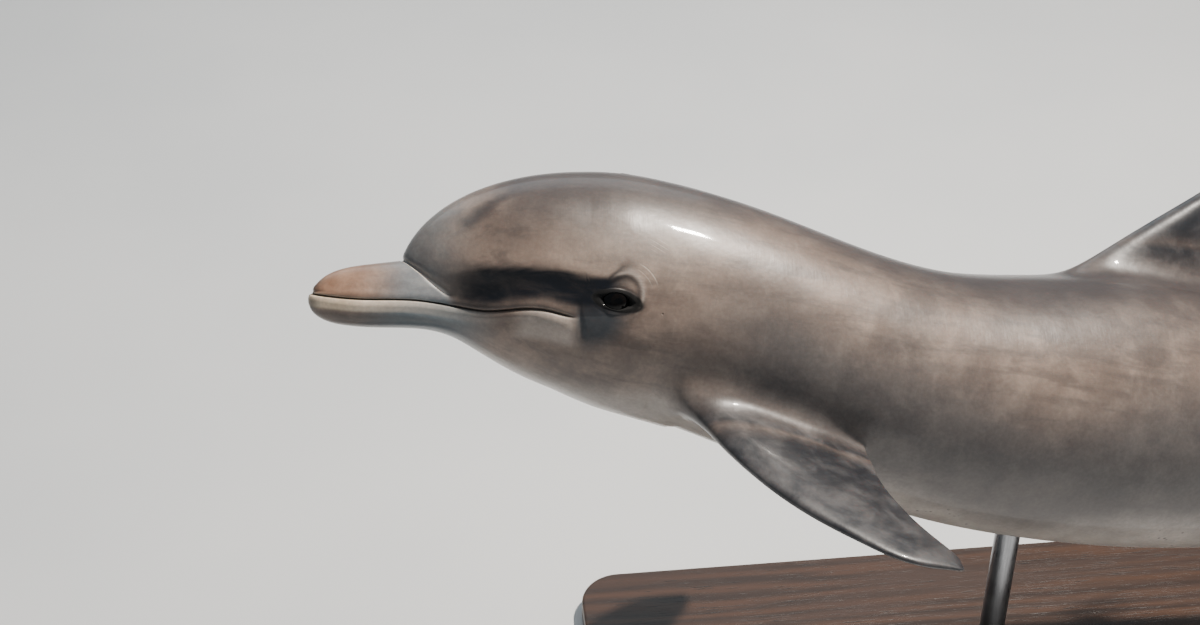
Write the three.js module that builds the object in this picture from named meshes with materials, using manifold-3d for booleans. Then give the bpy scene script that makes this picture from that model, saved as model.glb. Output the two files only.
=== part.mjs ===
// A life-size still model of a slender bottlenose dolphin, nose up and rolled to its right, on two rods.
// Units are millimetres, +Z up. The nose points to -X and the left side faces -Y.
// The animal is drawn straight first: X runs aft from the beak tip, Y to its right, Z towards its back.
// Then its tail is bent up along an arc and the whole animal is pitched, rolled and lifted on its stand.

import * as THREE from "three";
import { mergeVertices } from "three/addons/utils/BufferGeometryUtils.js";
import Module from "manifold-3d";

const wasm = await Module();
wasm.setup();

// ---------------------------------------------------------------- driving sizes of the animal

const LENGTH = 2400;                  // beak tip to the notch of the flukes
const BEAK_TIP_RUN = { up: 77, low: 47.5, side: 65 };   // lengths over which the tip of the beak rounds off
const MELON_FRONT = 99.5;             // where the forehead rises from the beak
const FOREHEAD_RUN = { up: 275.5, down: 260.5, side: 250.5 };
const FOREHEAD_ROUND = { up: 2.0, down: 1.45, side: 1.6 };
const FOREHEAD_BASE = 40;             // height about which the forehead opens
const BODY_START = 300;               // the body lines below begin here
const BEAK_END = 450;                 // the beak's own form is buried from here on
const BEAK_SQUARENESS = 2.15;
const TAIL_END = 2390;
const TAIL_ROUND = 60;

// Lines along the animal: pairs of distance aft and height or half-width.
const mouthLine = through([
  [0, 3], [60, 6.5], [120, 14], [170, 13.4], [200, 14], [235, 22.5], [265, 25.5], [295, 22.5],
  [340, 30], [420, 36], [500, 34], [600, 14], [700, -8], [800, -20], [920, -16], [1050, -4],
  [1250, 4], [1500, 18], [1750, 36], [2000, 60], [2200, 92], [2400, 107],
]);
const backLine = through([
  [300, 203.5], [375, 204], [450, 199], [530, 187], [610, 170.5], [690, 155], [770, 147.5],
  [860, 153.5], [950, 166], [1050, 175], [1200, 170], [1400, 156], [1600, 143], [1800, 136],
  [2000, 133], [2120, 129.5], [2220, 124], [2310, 118], [2400, 110.5],
]);
const bellyLine = through([
  [300, -69], [375, -86], [450, -101], [530, -120.5], [610, -142], [700, -163], [800, -179],
  [920, -186.5], [1050, -184], [1200, -168], [1400, -131], [1600, -83], [1800, -36], [2000, 6],
  [2120, 40], [2220, 73], [2310, 94], [2400, 103.5],
]);
const sideLine = through([
  [300, 120], [375, 129], [450, 138.5], [550, 151], [700, 166], [880, 173.5], [1050, 171],
  [1200, 161], [1400, 133], [1600, 100.5], [1800, 70], [2000, 45.5], [2120, 35.5], [2220, 31],
  [2310, 24], [2400, 12],
]);
const keelLine = through([[0, 0], [1300, 0], [1600, 10], [1900, 15], [2100, 9], [2220, 2], [2400, 0]]);
const jawLine = through([
  [0, -25.5], [50, -28.3], [100, -24], [156, -21.5], [200, -33], [260, -54], [340, -74], [450, -85],
]);
const beakTopLine = through([[0, 45], [70, 48.5], [100, 56], [160, 64], [250, 80], [450, 80]]);
const beakSideLine = through([
  [0, 28], [50, 34.5], [100, 41], [150, 51], [200, 66.5], [250, 83], [300, 96.5], [360, 105], [450, 105],
]);
const KEEL_WIDTH = 0.30;              // how far round the body a keel spreads
const BLEND = { beak: 5, cheek: 30, from: 130, to: 270 };

// Fins: lead and trail are the edges' places along the chord, from the root (0) to the tip (1).
const FLIPPER = {
  root: [514, -107, -64], span: [0.443, -0.801, -0.402], chord: [0.895, 0.416, 0.159],
  length: 330, thick: 33, tip: 4, bow: -10,
  lead: through([[0, -64], [0.15, -70], [0.35, -70], [0.6, -54], [0.8, -26], [0.93, 6], [1, 44]]),
  trail: through([
    [0, 63], [0.12, 90], [0.24, 109], [0.31, 112], [0.42, 94], [0.6, 73], [0.8, 66], [0.93, 65], [1, 59],
  ]),
};
const FLIPPER_RIGHT = { ...FLIPPER, span: [0.443, -0.871, -0.212], chord: [0.895, 0.441, 0.061] };
const DORSAL_FIN = {
  root: [1135, 0, 170], span: [0, 0, 1], chord: [1, 0, 0], length: 235, thick: 46, tip: 5, bow: 0,
  lead: through([[0, -182], [0.1, -147], [0.3, -84], [0.5, -20], [0.7, 43], [0.88, 106], [1, 168]]),
  trail: through([[0, 190], [0.08, 135], [0.25, 90], [0.45, 80], [0.65, 92], [0.85, 130], [1, 174]]),
};
const FLUKE = {
  root: [2295, 0, 106.5], span: [0, -1, 0], chord: [1, 0, 0], length: 300, thick: 32, tip: 4, bow: 10,
  lead: through([[0, -125], [0.12, -88], [0.3, -50], [0.5, -8], [0.7, 42], [0.88, 94], [1, 152]]),
  trail: through([[0, 105], [0.1, 122], [0.3, 118], [0.5, 110], [0.7, 114], [0.88, 133], [1, 158]]),
};
const FIN_EDGE = 1.1;                 // least half thickness close to a fin's edges
const FIN_ROOT_DEPTH = 0.09;          // how far a fin starts inside the body, in fin lengths

const EYE = { x: 340, z: 49, radius: 19, proud: 3 };

// Where the flesh is parted into nodes.
const CREASE_FOOT = 147;              // where the crease behind the beak meets the mouth line
const CREASE = [[99, 58], [60, 94]];
const MELON_END = 262;
const GAPE = 296;
const NECK = 440;
const CHEST_END = 920;
const TRUNK_END = 1440;

// Pose.
const TAIL_BEND = { from: 1000, to: 2150, angle: THREE.MathUtils.degToRad(13) };
const NOSE_UP = THREE.MathUtils.degToRad(14);
const ROLL = THREE.MathUtils.degToRad(32.3);
const NOSE_PLACE = [-960, 0, 800];

// Stand.
const BASE = { long: 1240, wide: 580, thick: 36, corner: 60, edge: 4 };
const ROD = { radius: 17, places: [[-60, 0], [460, 30]], sides: 18, reach: 560 };
const FLANGE = {
  radius: 62, thick: 9, hubRadius: 31, hubHeight: 26, boltCircle: 46, boltRadius: 7.5, boltHeight: 5,
};
const GAP = 0.3;

// Mesh density.
const AROUND = 36;
const FIN_RINGS = 9;
const FIN_HALF = 7;
const RING_SPANS = [
  { from: 0, to: 56, count: 6, power: 2 }, { from: 56, to: 92, count: 2, power: 1 },
  { from: 92, to: 124, count: 5, power: 1 }, { from: 124, to: 460, count: 13, power: 1 },
  { from: 460, to: 2330, count: 22, power: 1 },
];
const TAIL_CAP_RINGS = 3;

const COLOURS = {
  back: 0x6f6660, beak: 0x8f8074, jaw: 0xa39a8e, melon: 0x7d736b, belly: 0x8b8883,
  fin: 0x4c4c4e, eye: 0x0d0b0a, wood: 0x2f2621, steel: 0x9a9c9e,
};

// ---------------------------------------------------------------- lines

// The natural cubic spline through the points; its value stays constant past both ends.
function through(points) {
  const n = points.length;
  const gap = (i) => points[i + 1][0] - points[i][0];
  const slope = (i) => (points[i + 1][1] - points[i][1]) / gap(i);
  const bend = new Array(n).fill(0);
  const factor = new Array(n).fill(0);
  for (let i = 1; i < n - 1; i += 1) {
    const pivot = 2 * (gap(i - 1) + gap(i)) - gap(i - 1) * factor[i - 1];
    factor[i] = gap(i) / pivot;
    bend[i] = (6 * (slope(i) - slope(i - 1)) - gap(i - 1) * bend[i - 1]) / pivot;
  }
  for (let i = n - 2; i > 0; i -= 1) {
    bend[i] -= factor[i] * bend[i + 1];
  }
  return (place) => {
    const x = THREE.MathUtils.clamp(place, points[0][0], points[n - 1][0]);
    let i = 0;
    while (i < n - 2 && x > points[i + 1][0]) {
      i += 1;
    }
    const h = gap(i);
    const a = (points[i + 1][0] - x) / h;
    const b = 1 - a;
    const curve = ((a ** 3 - a) * bend[i] + (b ** 3 - b) * bend[i + 1]) * h * h / 6;
    return a * points[i][1] + b * points[i + 1][1] + curve;
  };
}

// Rises from 0 to 1 like a quarter of a superellipse, steep at its start.
function rise(start, run, x, power) {
  const t = THREE.MathUtils.clamp((x - start) / run, 0, 1);
  return (1 - (1 - t) ** power) ** (1 / power);
}

function smoothMax(p, q, width) {
  const overlap = Math.max(width - Math.abs(p - q), 0) / width;
  return Math.max(p, q) + overlap * overlap * width / 4;
}

// ---------------------------------------------------------------- body

// Distance from the mouth line to the form of head and trunk, an ellipse that may sit off the line.
function hullRadius(x, cosine, sine) {
  if (x <= MELON_FRONT) {
    return 0;
  }
  const aft = Math.max(x, BODY_START);
  const up = rise(MELON_FRONT, FOREHEAD_RUN.up, x, FOREHEAD_ROUND.up);
  const down = rise(MELON_FRONT, FOREHEAD_RUN.down, x, FOREHEAD_ROUND.down);
  const top = FOREHEAD_BASE + (backLine(aft) - FOREHEAD_BASE) * up;
  const bottom = FOREHEAD_BASE + (bellyLine(aft) - FOREHEAD_BASE) * down;
  const width = sideLine(aft) * rise(MELON_FRONT, FOREHEAD_RUN.side, x, FOREHEAD_ROUND.side);
  const tall = (top - bottom) / 2;
  const offset = (top + bottom) / 2 - mouthLine(x);
  const a = (cosine / width) ** 2 + (sine / tall) ** 2;
  const b = offset * sine / tall ** 2;
  const c = (offset / tall) ** 2 - 1;
  const keel = keelLine(x) * Math.exp(-((cosine / KEEL_WIDTH) ** 2));
  return (b + Math.sqrt(Math.max(b * b - a * c, 0))) / a + keel;
}

// Distance from the mouth line to the form of the beak and jaw.
function beakRadius(x, cosine, sine) {
  if (x >= BEAK_END) {
    return 0;
  }
  const width = beakSideLine(x) * rise(0, BEAK_TIP_RUN.side, x, 2);
  const above = (beakTopLine(x) - mouthLine(x)) * rise(0, BEAK_TIP_RUN.up, x, 2);
  const below = (mouthLine(x) - jawLine(x)) * rise(0, BEAK_TIP_RUN.low, x, 3);
  const tall = sine >= 0 ? above : below;
  const n = BEAK_SQUARENESS;
  return (Math.abs(cosine / width) ** n + Math.abs(sine / tall) ** n) ** (-1 / n);
}

function bodyRadius(x, angle) {
  const cosine = Math.cos(angle);
  const sine = Math.sin(angle);
  const spread = THREE.MathUtils.smoothstep(x, BLEND.from, BLEND.to);
  const width = BLEND.beak + BLEND.cheek * spread;
  const form = smoothMax(hullRadius(x, cosine, sine), beakRadius(x, cosine, sine), width);
  const past = Math.max(x - (TAIL_END - TAIL_ROUND), 0) / TAIL_ROUND;
  return form * Math.sqrt(1 - past * past);
}

function ringPlaces() {
  const places = [];
  for (const { from, to, count, power } of RING_SPANS) {
    for (let i = 1; i <= count; i += 1) {
      places.push(from + (to - from) * (i / count) ** power);
    }
  }
  for (let i = 1; i < TAIL_CAP_RINGS; i += 1) {
    const turn = (i / TAIL_CAP_RINGS) * Math.PI / 2;
    places.push(TAIL_END - TAIL_ROUND + TAIL_ROUND * Math.sin(turn));
  }
  return places;
}

// Joins rings of points into a closed body with a point at each end.
function closedLoft(rings, start, end) {
  const around = rings[0].length;
  const points = [start, ...rings.flat(), end];
  const faces = [];
  const at = (ring, k) => 1 + ring * around + (k % around);
  for (let k = 0; k < around; k += 1) {
    faces.push([0, at(0, k + 1), at(0, k)]);
    faces.push([points.length - 1, at(rings.length - 1, k), at(rings.length - 1, k + 1)]);
    for (let ring = 0; ring < rings.length - 1; ring += 1) {
      faces.push([at(ring, k), at(ring, k + 1), at(ring + 1, k + 1)]);
      faces.push([at(ring, k), at(ring + 1, k + 1), at(ring + 1, k)]);
    }
  }
  return { points, faces };
}

function bodyLoft(extra) {
  const rings = ringPlaces().map((x) => {
    const ring = [];
    for (let k = 0; k < AROUND; k += 1) {
      const angle = (k / AROUND) * 2 * Math.PI;
      const r = bodyRadius(x, angle) + extra;
      ring.push([x, r * Math.cos(angle), mouthLine(x) + r * Math.sin(angle)]);
    }
    return ring;
  });
  return closedLoft(rings, [-extra, 0, mouthLine(0)], [TAIL_END + extra, 0, mouthLine(TAIL_END)]);
}

// ---------------------------------------------------------------- fins

// Half thickness of a fin section at a share of its chord, 1 at its thickest.
function finSection(share) {
  return 2.598 * Math.sqrt(share) * (1 - share);
}

function finLoft(fin) {
  const span = new THREE.Vector3(...fin.span).normalize();
  const chord = new THREE.Vector3(...fin.chord);
  chord.addScaledVector(span, -chord.dot(span)).normalize();
  const up = new THREE.Vector3().crossVectors(chord, span);
  const root = new THREE.Vector3(...fin.root);
  const point = (s, along, thickness) => {
    const p = root.clone().addScaledVector(span, fin.length * s).addScaledVector(chord, along);
    return p.addScaledVector(up, thickness + fin.bow * s * Math.abs(s)).toArray();
  };
  const rings = [];
  for (let i = 0; i <= FIN_RINGS; i += 1) {
    const s = -FIN_ROOT_DEPTH + (1 + FIN_ROOT_DEPTH) * Math.sin((i / FIN_RINGS) * Math.PI / 2) ** 0.9;
    const outward = THREE.MathUtils.clamp(s, 0, 1);
    const half = (fin.thick * (1 - outward) ** 0.8 + fin.tip) / 2;
    const ring = [];
    for (let k = 0; k < 2 * FIN_HALF; k += 1) {
      const turn = (k / FIN_HALF) * Math.PI;
      const share = (1 - Math.cos(turn)) / 2;
      const along = THREE.MathUtils.lerp(fin.lead(outward), fin.trail(outward), share);
      const edge = FIN_EDGE * Math.sqrt(Math.abs(Math.sin(turn)));
      ring.push(point(s, along, Math.sign(Math.sin(turn)) * (half * finSection(share) + edge)));
    }
    rings.push(ring);
  }
  const middle = (s) => (fin.lead(s) + fin.trail(s)) / 2;
  return closedLoft(rings, point(-FIN_ROOT_DEPTH, middle(0), 0), point(1.004, middle(1), 0));
}

function mirrored({ points, faces }) {
  return {
    points: points.map(([x, y, z]) => [x, -y, z]),
    faces: faces.map(([a, b, c]) => [a, c, b]),
  };
}

// ---------------------------------------------------------------- solids

function solidOf({ points, faces }) {
  const mesh = new wasm.Mesh({
    numProp: 3,
    vertProperties: new Float32Array(points.flat()),
    triVerts: new Uint32Array(faces.flat()),
  });
  return new wasm.Manifold(mesh);
}

function solidOfGeometry(source) {
  const bare = source.index ? source.toNonIndexed() : source.clone();
  bare.deleteAttribute("normal");
  bare.deleteAttribute("uv");
  const merged = mergeVertices(bare, 1e-4);
  const mesh = new wasm.Mesh({
    numProp: 3,
    vertProperties: new Float32Array(merged.attributes.position.array),
    triVerts: new Uint32Array(merged.index.array),
  });
  return new wasm.Manifold(mesh);
}

function geometryOf(solid, move = (p) => p) {
  const mesh = solid.getMesh();
  const points = [];
  for (let i = 0; i < mesh.numVert; i += 1) {
    const start = i * mesh.numProp;
    points.push(...move(Array.from(mesh.vertProperties.slice(start, start + 3))));
  }
  const geometry = new THREE.BufferGeometry();
  geometry.setAttribute("position", new THREE.Float32BufferAttribute(points, 3));
  geometry.setIndex(Array.from(mesh.triVerts));
  geometry.computeVertexNormals();
  return geometry;
}

// A prism right through the animal from side to side, over an outline seen from its side.
function sidePrism(outline) {
  const reach = 400;
  const shape = new THREE.Shape(outline.map(([x, z]) => new THREE.Vector2(x, z)));
  const geometry = new THREE.ExtrudeGeometry(shape, { depth: 2 * reach, bevelEnabled: false });
  geometry.rotateX(Math.PI / 2);
  geometry.translate(0, reach, 0);
  return solidOfGeometry(geometry);
}

// ---------------------------------------------------------------- bend of the tail

const bendTable = (() => {
  const table = [[0, 0, 0]];
  for (let s = 1; s <= LENGTH + 200; s += 1) {
    const angle = TAIL_BEND.angle * THREE.MathUtils.smoothstep(s, TAIL_BEND.from, TAIL_BEND.to);
    const [x, z] = table[s - 1];
    table.push([x + Math.cos(angle), z + Math.sin(angle), angle]);
  }
  return table;
})();

function bent([x, y, z]) {
  if (x <= TAIL_BEND.from) {
    return [x, y, z];
  }
  const low = Math.floor(x);
  const share = x - low;
  const mix = (k) => THREE.MathUtils.lerp(bendTable[low][k], bendTable[low + 1][k], share);
  return [mix(0) - z * Math.sin(mix(2)), y, mix(1) + z * Math.cos(mix(2))];
}

// ---------------------------------------------------------------- animal

const MOUTH_STEP = 16;

// Points along the mouth line, a little above or below it.
function mouthPoints(from, to, lift) {
  const steps = Math.ceil((to - from) / MOUTH_STEP);
  return Array.from({ length: steps + 1 }, (_, i) => {
    const x = from + (to - from) * (i / steps);
    return [x, mouthLine(x) + lift];
  });
}

function shifted(points, dx) {
  return points.map(([x, z]) => [x + dx, z]);
}

function fleshSolids(body) {
  const half = GAP / 2;
  const high = 320;
  const low = -320;
  const front = -40;
  const block = (from, to) => [
    [from + half, low], [to - half, low], [to - half, high], [from + half, high],
  ];
  const outlines = {
    upper_beak: [
      [front, mouthLine(0) + half], ...mouthPoints(0, CREASE_FOOT - half, half),
      ...shifted(CREASE, -half), [front, high],
    ],
    lower_jaw: [
      [front, low], [GAPE - half, low], ...mouthPoints(0, GAPE - half, -half).reverse(),
      [front, mouthLine(0) - half],
    ],
    melon: [
      ...mouthPoints(CREASE_FOOT + half, MELON_END - half, half), [MELON_END - half, high],
      [CREASE[1][0] + half, high], ...shifted(CREASE, half).reverse(),
    ],
    head: [
      ...mouthPoints(MELON_END + half, GAPE + half, half), [GAPE + half, low], [NECK - half, low],
      [NECK - half, high], [MELON_END + half, high],
    ],
    chest: block(NECK, CHEST_END),
    trunk: block(CHEST_END, TRUNK_END),
    tail_stock: block(TRUNK_END, LENGTH + 100),
  };
  return Object.fromEntries(
    Object.entries(outlines).map(([name, outline]) => [name, body.intersect(sidePrism(outline))]),
  );
}

// All that lies to one side of the animal's midline, short of it by half a gap.
function halfSpace(side) {
  const reach = 3 * LENGTH;
  const box = new THREE.BoxGeometry(reach, LENGTH, reach);
  box.translate(0, side * (LENGTH + GAP) / 2, 0);
  return solidOfGeometry(box);
}

function bodyHalfWidthAt(x, z) {
  let angle = 0;
  for (let i = 0; i < 30; i += 1) {
    angle = Math.asin((z - mouthLine(x)) / bodyRadius(x, angle));
  }
  return bodyRadius(x, angle) * Math.cos(angle);
}

function eyeBall(side, radius) {
  const ball = new THREE.SphereGeometry(radius, 14, 8);
  ball.rotateX(Math.PI / 2);
  ball.translate(EYE.x, side * (bodyHalfWidthAt(EYE.x, EYE.z) + EYE.proud - EYE.radius), EYE.z);
  return solidOfGeometry(ball);
}

function material(colour, roughness = 0.3, metalness = 0) {
  return new THREE.MeshStandardMaterial({ color: colour, roughness, metalness });
}

const part = new THREE.Group();

function addMesh(parent, name, geometry, finish) {
  const mesh = new THREE.Mesh(geometry, finish);
  mesh.name = name;
  parent.add(mesh);
  return mesh;
}

const body = solidOf(bodyLoft(0));
const roomyBody = solidOf(bodyLoft(GAP));
const flesh = fleshSolids(body);
const fins = {
  dorsal_fin: finLoft(DORSAL_FIN),
  flipper_left: finLoft(FLIPPER),
  flipper_right: mirrored(finLoft(FLIPPER_RIGHT)),
  fluke_left: finLoft(FLUKE),
  fluke_right: mirrored(finLoft(FLUKE)),
};
const fleshColours = {
  upper_beak: COLOURS.beak, lower_jaw: COLOURS.jaw, melon: COLOURS.melon, head: COLOURS.back,
  chest: COLOURS.back, trunk: COLOURS.belly, tail_stock: COLOURS.back,
};

const dolphin = new THREE.Group();
const pitched = new THREE.Quaternion().setFromAxisAngle(new THREE.Vector3(0, 1, 0), NOSE_UP);
const rolled = new THREE.Quaternion().setFromAxisAngle(new THREE.Vector3(1, 0, 0), -ROLL);
dolphin.quaternion.copy(pitched).multiply(rolled);
dolphin.position.set(...NOSE_PLACE);
dolphin.updateMatrixWorld(true);
part.add(dolphin);

for (const [name, solid] of Object.entries(flesh)) {
  let piece = solid;
  if (name === "head") {
    piece = piece.subtract(eyeBall(-1, EYE.radius + GAP)).subtract(eyeBall(1, EYE.radius + GAP));
  }
  addMesh(dolphin, name, geometryOf(piece, bent), material(fleshColours[name]));
}
for (const [name, loft] of Object.entries(fins)) {
  let solid = solidOf(loft).subtract(roomyBody);
  if (name.startsWith("fluke")) {
    solid = solid.intersect(halfSpace(name.endsWith("left") ? -1 : 1));
  }
  const outside = solid.decompose();
  outside.sort((a, b) => b.volume() - a.volume());
  addMesh(dolphin, name, geometryOf(outside[0], bent), material(COLOURS.fin));
}
addMesh(dolphin, "eye_left", geometryOf(eyeBall(-1, EYE.radius)), material(COLOURS.eye, 0.05));
addMesh(dolphin, "eye_right", geometryOf(eyeBall(1, EYE.radius)), material(COLOURS.eye, 0.05));

// ---------------------------------------------------------------- stand

function roundedBase() {
  const x = BASE.long / 2 - BASE.edge;
  const y = BASE.wide / 2 - BASE.edge;
  const r = BASE.corner;
  const shape = new THREE.Shape();
  shape.moveTo(-x + r, -y);
  shape.lineTo(x - r, -y);
  shape.absarc(x - r, -y + r, r, -Math.PI / 2, 0);
  shape.lineTo(x, y - r);
  shape.absarc(x - r, y - r, r, 0, Math.PI / 2);
  shape.lineTo(-x + r, y);
  shape.absarc(-x + r, y - r, r, Math.PI / 2, Math.PI);
  shape.lineTo(-x, -y + r);
  shape.absarc(-x + r, -y + r, r, Math.PI, 1.5 * Math.PI);
  const geometry = new THREE.ExtrudeGeometry(shape, {
    depth: BASE.thick - 2 * BASE.edge, curveSegments: 6,
    bevelThickness: BASE.edge, bevelSize: BASE.edge, bevelSegments: 1,
  });
  geometry.translate(0, 0, BASE.edge);
  return geometry;
}

// A rod that rises from the base and stops just short of the skin.
function rodGeometry([x, y], skin) {
  const geometry = new THREE.CylinderGeometry(ROD.radius, ROD.radius, ROD.reach, ROD.sides);
  geometry.rotateX(Math.PI / 2);
  geometry.translate(x, y, BASE.thick + GAP + ROD.reach / 2);
  const pieces = solidOfGeometry(geometry).subtract(skin).decompose();
  const lowest = (solid) => solid.boundingBox().min[2];
  pieces.sort((a, b) => lowest(a) - lowest(b));
  return geometryOf(pieces[0]);
}

// A round foot with a hub around the rod and four hexagonal bolt heads.
function flangeGeometry([x, y]) {
  const bore = ROD.radius + GAP;
  const profile = [
    [bore, 0], [FLANGE.radius, 0], [FLANGE.radius, FLANGE.thick - 2], [FLANGE.radius - 2, FLANGE.thick],
    [FLANGE.hubRadius + 4, FLANGE.thick], [FLANGE.hubRadius, FLANGE.thick + 4],
    [FLANGE.hubRadius - 3, FLANGE.hubHeight], [bore, FLANGE.hubHeight], [bore, 0],
  ];
  const lathe = new THREE.LatheGeometry(profile.map(([r, z]) => new THREE.Vector2(r, z)), ROD.sides);
  lathe.rotateX(Math.PI / 2);
  let solid = solidOfGeometry(lathe);
  for (let k = 0; k < 4; k += 1) {
    const turn = (k + 0.5) * Math.PI / 2;
    const bolt = new THREE.CylinderGeometry(FLANGE.boltRadius, FLANGE.boltRadius, FLANGE.boltHeight * 2, 6);
    bolt.rotateX(Math.PI / 2);
    bolt.translate(FLANGE.boltCircle * Math.cos(turn), FLANGE.boltCircle * Math.sin(turn), FLANGE.thick);
    solid = solid.add(solidOfGeometry(bolt));
  }
  const geometry = geometryOf(solid);
  geometry.translate(x, y, BASE.thick + GAP);
  return geometry;
}

const standing = solidOfGeometry(geometryOf(roomyBody, bent).applyMatrix4(dolphin.matrixWorld));
const wood = material(COLOURS.wood, 0.45);
const steel = material(COLOURS.steel, 0.3, 1);
addMesh(part, "stand_base", roundedBase(), wood);
for (const [k, name] of ["front", "rear"].entries()) {
  addMesh(part, `stand_rod_${name}`, rodGeometry(ROD.places[k], standing), steel.clone());
  addMesh(part, `stand_flange_${name}`, flangeGeometry(ROD.places[k]), steel.clone());
}

export default part;
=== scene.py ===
import math
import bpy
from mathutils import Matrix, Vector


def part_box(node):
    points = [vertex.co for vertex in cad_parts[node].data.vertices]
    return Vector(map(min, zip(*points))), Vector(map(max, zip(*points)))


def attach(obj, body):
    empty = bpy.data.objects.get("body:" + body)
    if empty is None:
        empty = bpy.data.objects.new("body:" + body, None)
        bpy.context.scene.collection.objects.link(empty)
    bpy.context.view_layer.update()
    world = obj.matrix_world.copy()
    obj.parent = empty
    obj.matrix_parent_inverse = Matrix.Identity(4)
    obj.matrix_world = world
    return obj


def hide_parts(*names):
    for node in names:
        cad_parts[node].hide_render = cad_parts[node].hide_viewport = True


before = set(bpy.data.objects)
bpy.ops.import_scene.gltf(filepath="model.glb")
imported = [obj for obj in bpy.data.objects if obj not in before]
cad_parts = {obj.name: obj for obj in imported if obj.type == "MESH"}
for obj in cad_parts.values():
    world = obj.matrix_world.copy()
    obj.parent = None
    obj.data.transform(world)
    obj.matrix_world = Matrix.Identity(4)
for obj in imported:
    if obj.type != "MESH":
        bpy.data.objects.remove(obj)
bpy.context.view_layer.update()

from types import SimpleNamespace

import bmesh
import bpy
import numpy as np
from mathutils import Matrix, Vector

# A life-size bottlenose dolphin on a display stand. Everything is in metres.
# The animal is drawn straight first: x runs aft from the beak tip, y to its right, z towards its back.
# An angle goes round the mouth line, from the animal's right (0) over its back (90 degrees) to its left.

# ---------------------------------------------------------------- lines and shares


def spline(*pairs):
    """The natural cubic line through the pairs, level past both ends."""
    places, values = np.array(pairs, float).T
    gaps = np.diff(places)
    slopes = np.diff(values) / gaps
    system = np.eye(len(places))
    target = np.zeros(len(places))
    for i in range(1, len(gaps)):
        system[i, i - 1:i + 2] = gaps[i - 1], 2 * (gaps[i - 1] + gaps[i]), gaps[i]
        target[i] = 6 * (slopes[i] - slopes[i - 1])
    bends = np.linalg.solve(system, target)

    def at(place):
        x = np.clip(place, places[0], places[-1])
        i = np.clip(np.searchsorted(places, x) - 1, 0, len(gaps) - 1)
        b = (x - places[i]) / gaps[i]
        a = 1 - b
        curve = ((a**3 - a) * bends[i] + (b**3 - b) * bends[i + 1]) * gaps[i] ** 2 / 6
        return a * values[i] + b * values[i + 1] + curve

    return at


def smooth(start, end, x):
    """0 before start, 1 past end, smooth between. Start may lie past end."""
    share = np.clip((np.asarray(x, float) - start) / (end - start), 0, 1)
    return share * share * (3 - 2 * share)


def ridge(x, at, width, height=1.0):
    """A soft ridge along a line."""
    return height * np.exp(-(((x - at) / width) ** 2))


def between(x, start, end, edge):
    """1 from start to end, fading over edge on both sides."""
    return smooth(start - edge, start, x) * (1 - smooth(end, end + edge, x))


def rise(x, start, run, power):
    """From 0 to 1 like a quarter of a superellipse, steep at its start."""
    share = np.clip((x - start) / run, 0, 1)
    return (1 - (1 - share) ** power) ** (1 / power)


def smooth_max(p, q, width):
    """The larger of two, with a rounded change where they are less than a width apart."""
    overlap = np.maximum(width - np.abs(p - q), 0) / width
    return np.maximum(p, q) + overlap**2 * width / 4


def mix(a, b, share):
    """From a, at share 0, to b, at share 1."""
    return a + (b - a) * share


def from_segment(px, py, start, end):
    """Distance in a plane to a straight stretch."""
    dx, dy = end[0] - start[0], end[1] - start[1]
    along = np.clip(((px - start[0]) * dx + (py - start[1]) * dy) / (dx * dx + dy * dy), 0, 1)
    return np.hypot(px - start[0] - along * dx, py - start[1] - along * dy)


# ---------------------------------------------------------------- body form

LENGTH = 2.400
TAIL_END, TAIL_ROUND = 2.390, 0.060
BEAK_END = 0.450
MELON_FRONT = 0.0995
FOREHEAD_BASE = 0.040
BODY_START = 0.300
BEAK_SQUARENESS = 2.15
KEEL_WIDTH = 0.30
# The width of the soft change between beak and head, at the beak's root and at the cheek.
BEAK_BLEND, CHEEK_BLEND = 0.005, 0.035
# How far behind its front each line reaches its full size, and how roundly it gets there.
FOREHEAD_RISE = {"run": .2755, "power": 2.0}
THROAT_RISE = {"run": .2605, "power": 1.45}
CHEEK_RISE = {"run": .2505, "power": 1.6}
BEAK_SIDE_RISE = {"run": .065, "power": 2}
BEAK_TOP_RISE = {"run": .077, "power": 2}
JAW_RISE = {"run": .0475, "power": 3}

mouth_line = spline(
    (0, .003), (.060, .0065), (.120, .014), (.170, .0134), (.200, .014), (.235, .0225), (.265, .0255),
    (.295, .0225), (.340, .030), (.420, .036), (.500, .034), (.600, .014), (.700, -.008), (.800, -.020),
    (.920, -.016), (1.050, -.004), (1.250, .004), (1.500, .018), (1.750, .036), (2.000, .060),
    (2.200, .092), (2.400, .107),
)
back_line = spline(
    (.300, .2035), (.375, .204), (.450, .199), (.530, .187), (.610, .1705), (.690, .155), (.770, .1475),
    (.860, .1535), (.950, .166), (1.050, .175), (1.200, .170), (1.400, .156), (1.600, .143), (1.800, .136),
    (2.000, .133), (2.120, .1295), (2.220, .124), (2.310, .118), (2.400, .1105),
)
belly_line = spline(
    (.300, -.069), (.375, -.086), (.450, -.101), (.530, -.1205), (.610, -.142), (.700, -.163),
    (.800, -.179), (.920, -.1865), (1.050, -.184), (1.200, -.168), (1.400, -.131), (1.600, -.083),
    (1.800, -.036), (2.000, .006), (2.120, .040), (2.220, .073), (2.310, .094), (2.400, .1035),
)
side_line = spline(
    (.300, .120), (.375, .129), (.450, .1385), (.550, .151), (.700, .166), (.880, .1735), (1.050, .171),
    (1.200, .161), (1.400, .133), (1.600, .1005), (1.800, .070), (2.000, .0455), (2.120, .0355),
    (2.220, .031), (2.310, .024), (2.400, .012),
)
keel_line = spline((0, 0), (1.3, 0), (1.6, .010), (1.9, .015), (2.1, .009), (2.22, .002), (2.4, 0))
jaw_line = spline(
    (0, -.0255), (.050, -.0283), (.100, -.024), (.156, -.0215), (.200, -.033), (.260, -.054),
    (.340, -.074), (.450, -.085),
)
beak_top_line = spline((0, .045), (.070, .0485), (.100, .056), (.160, .064), (.250, .080), (.450, .080))
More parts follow.
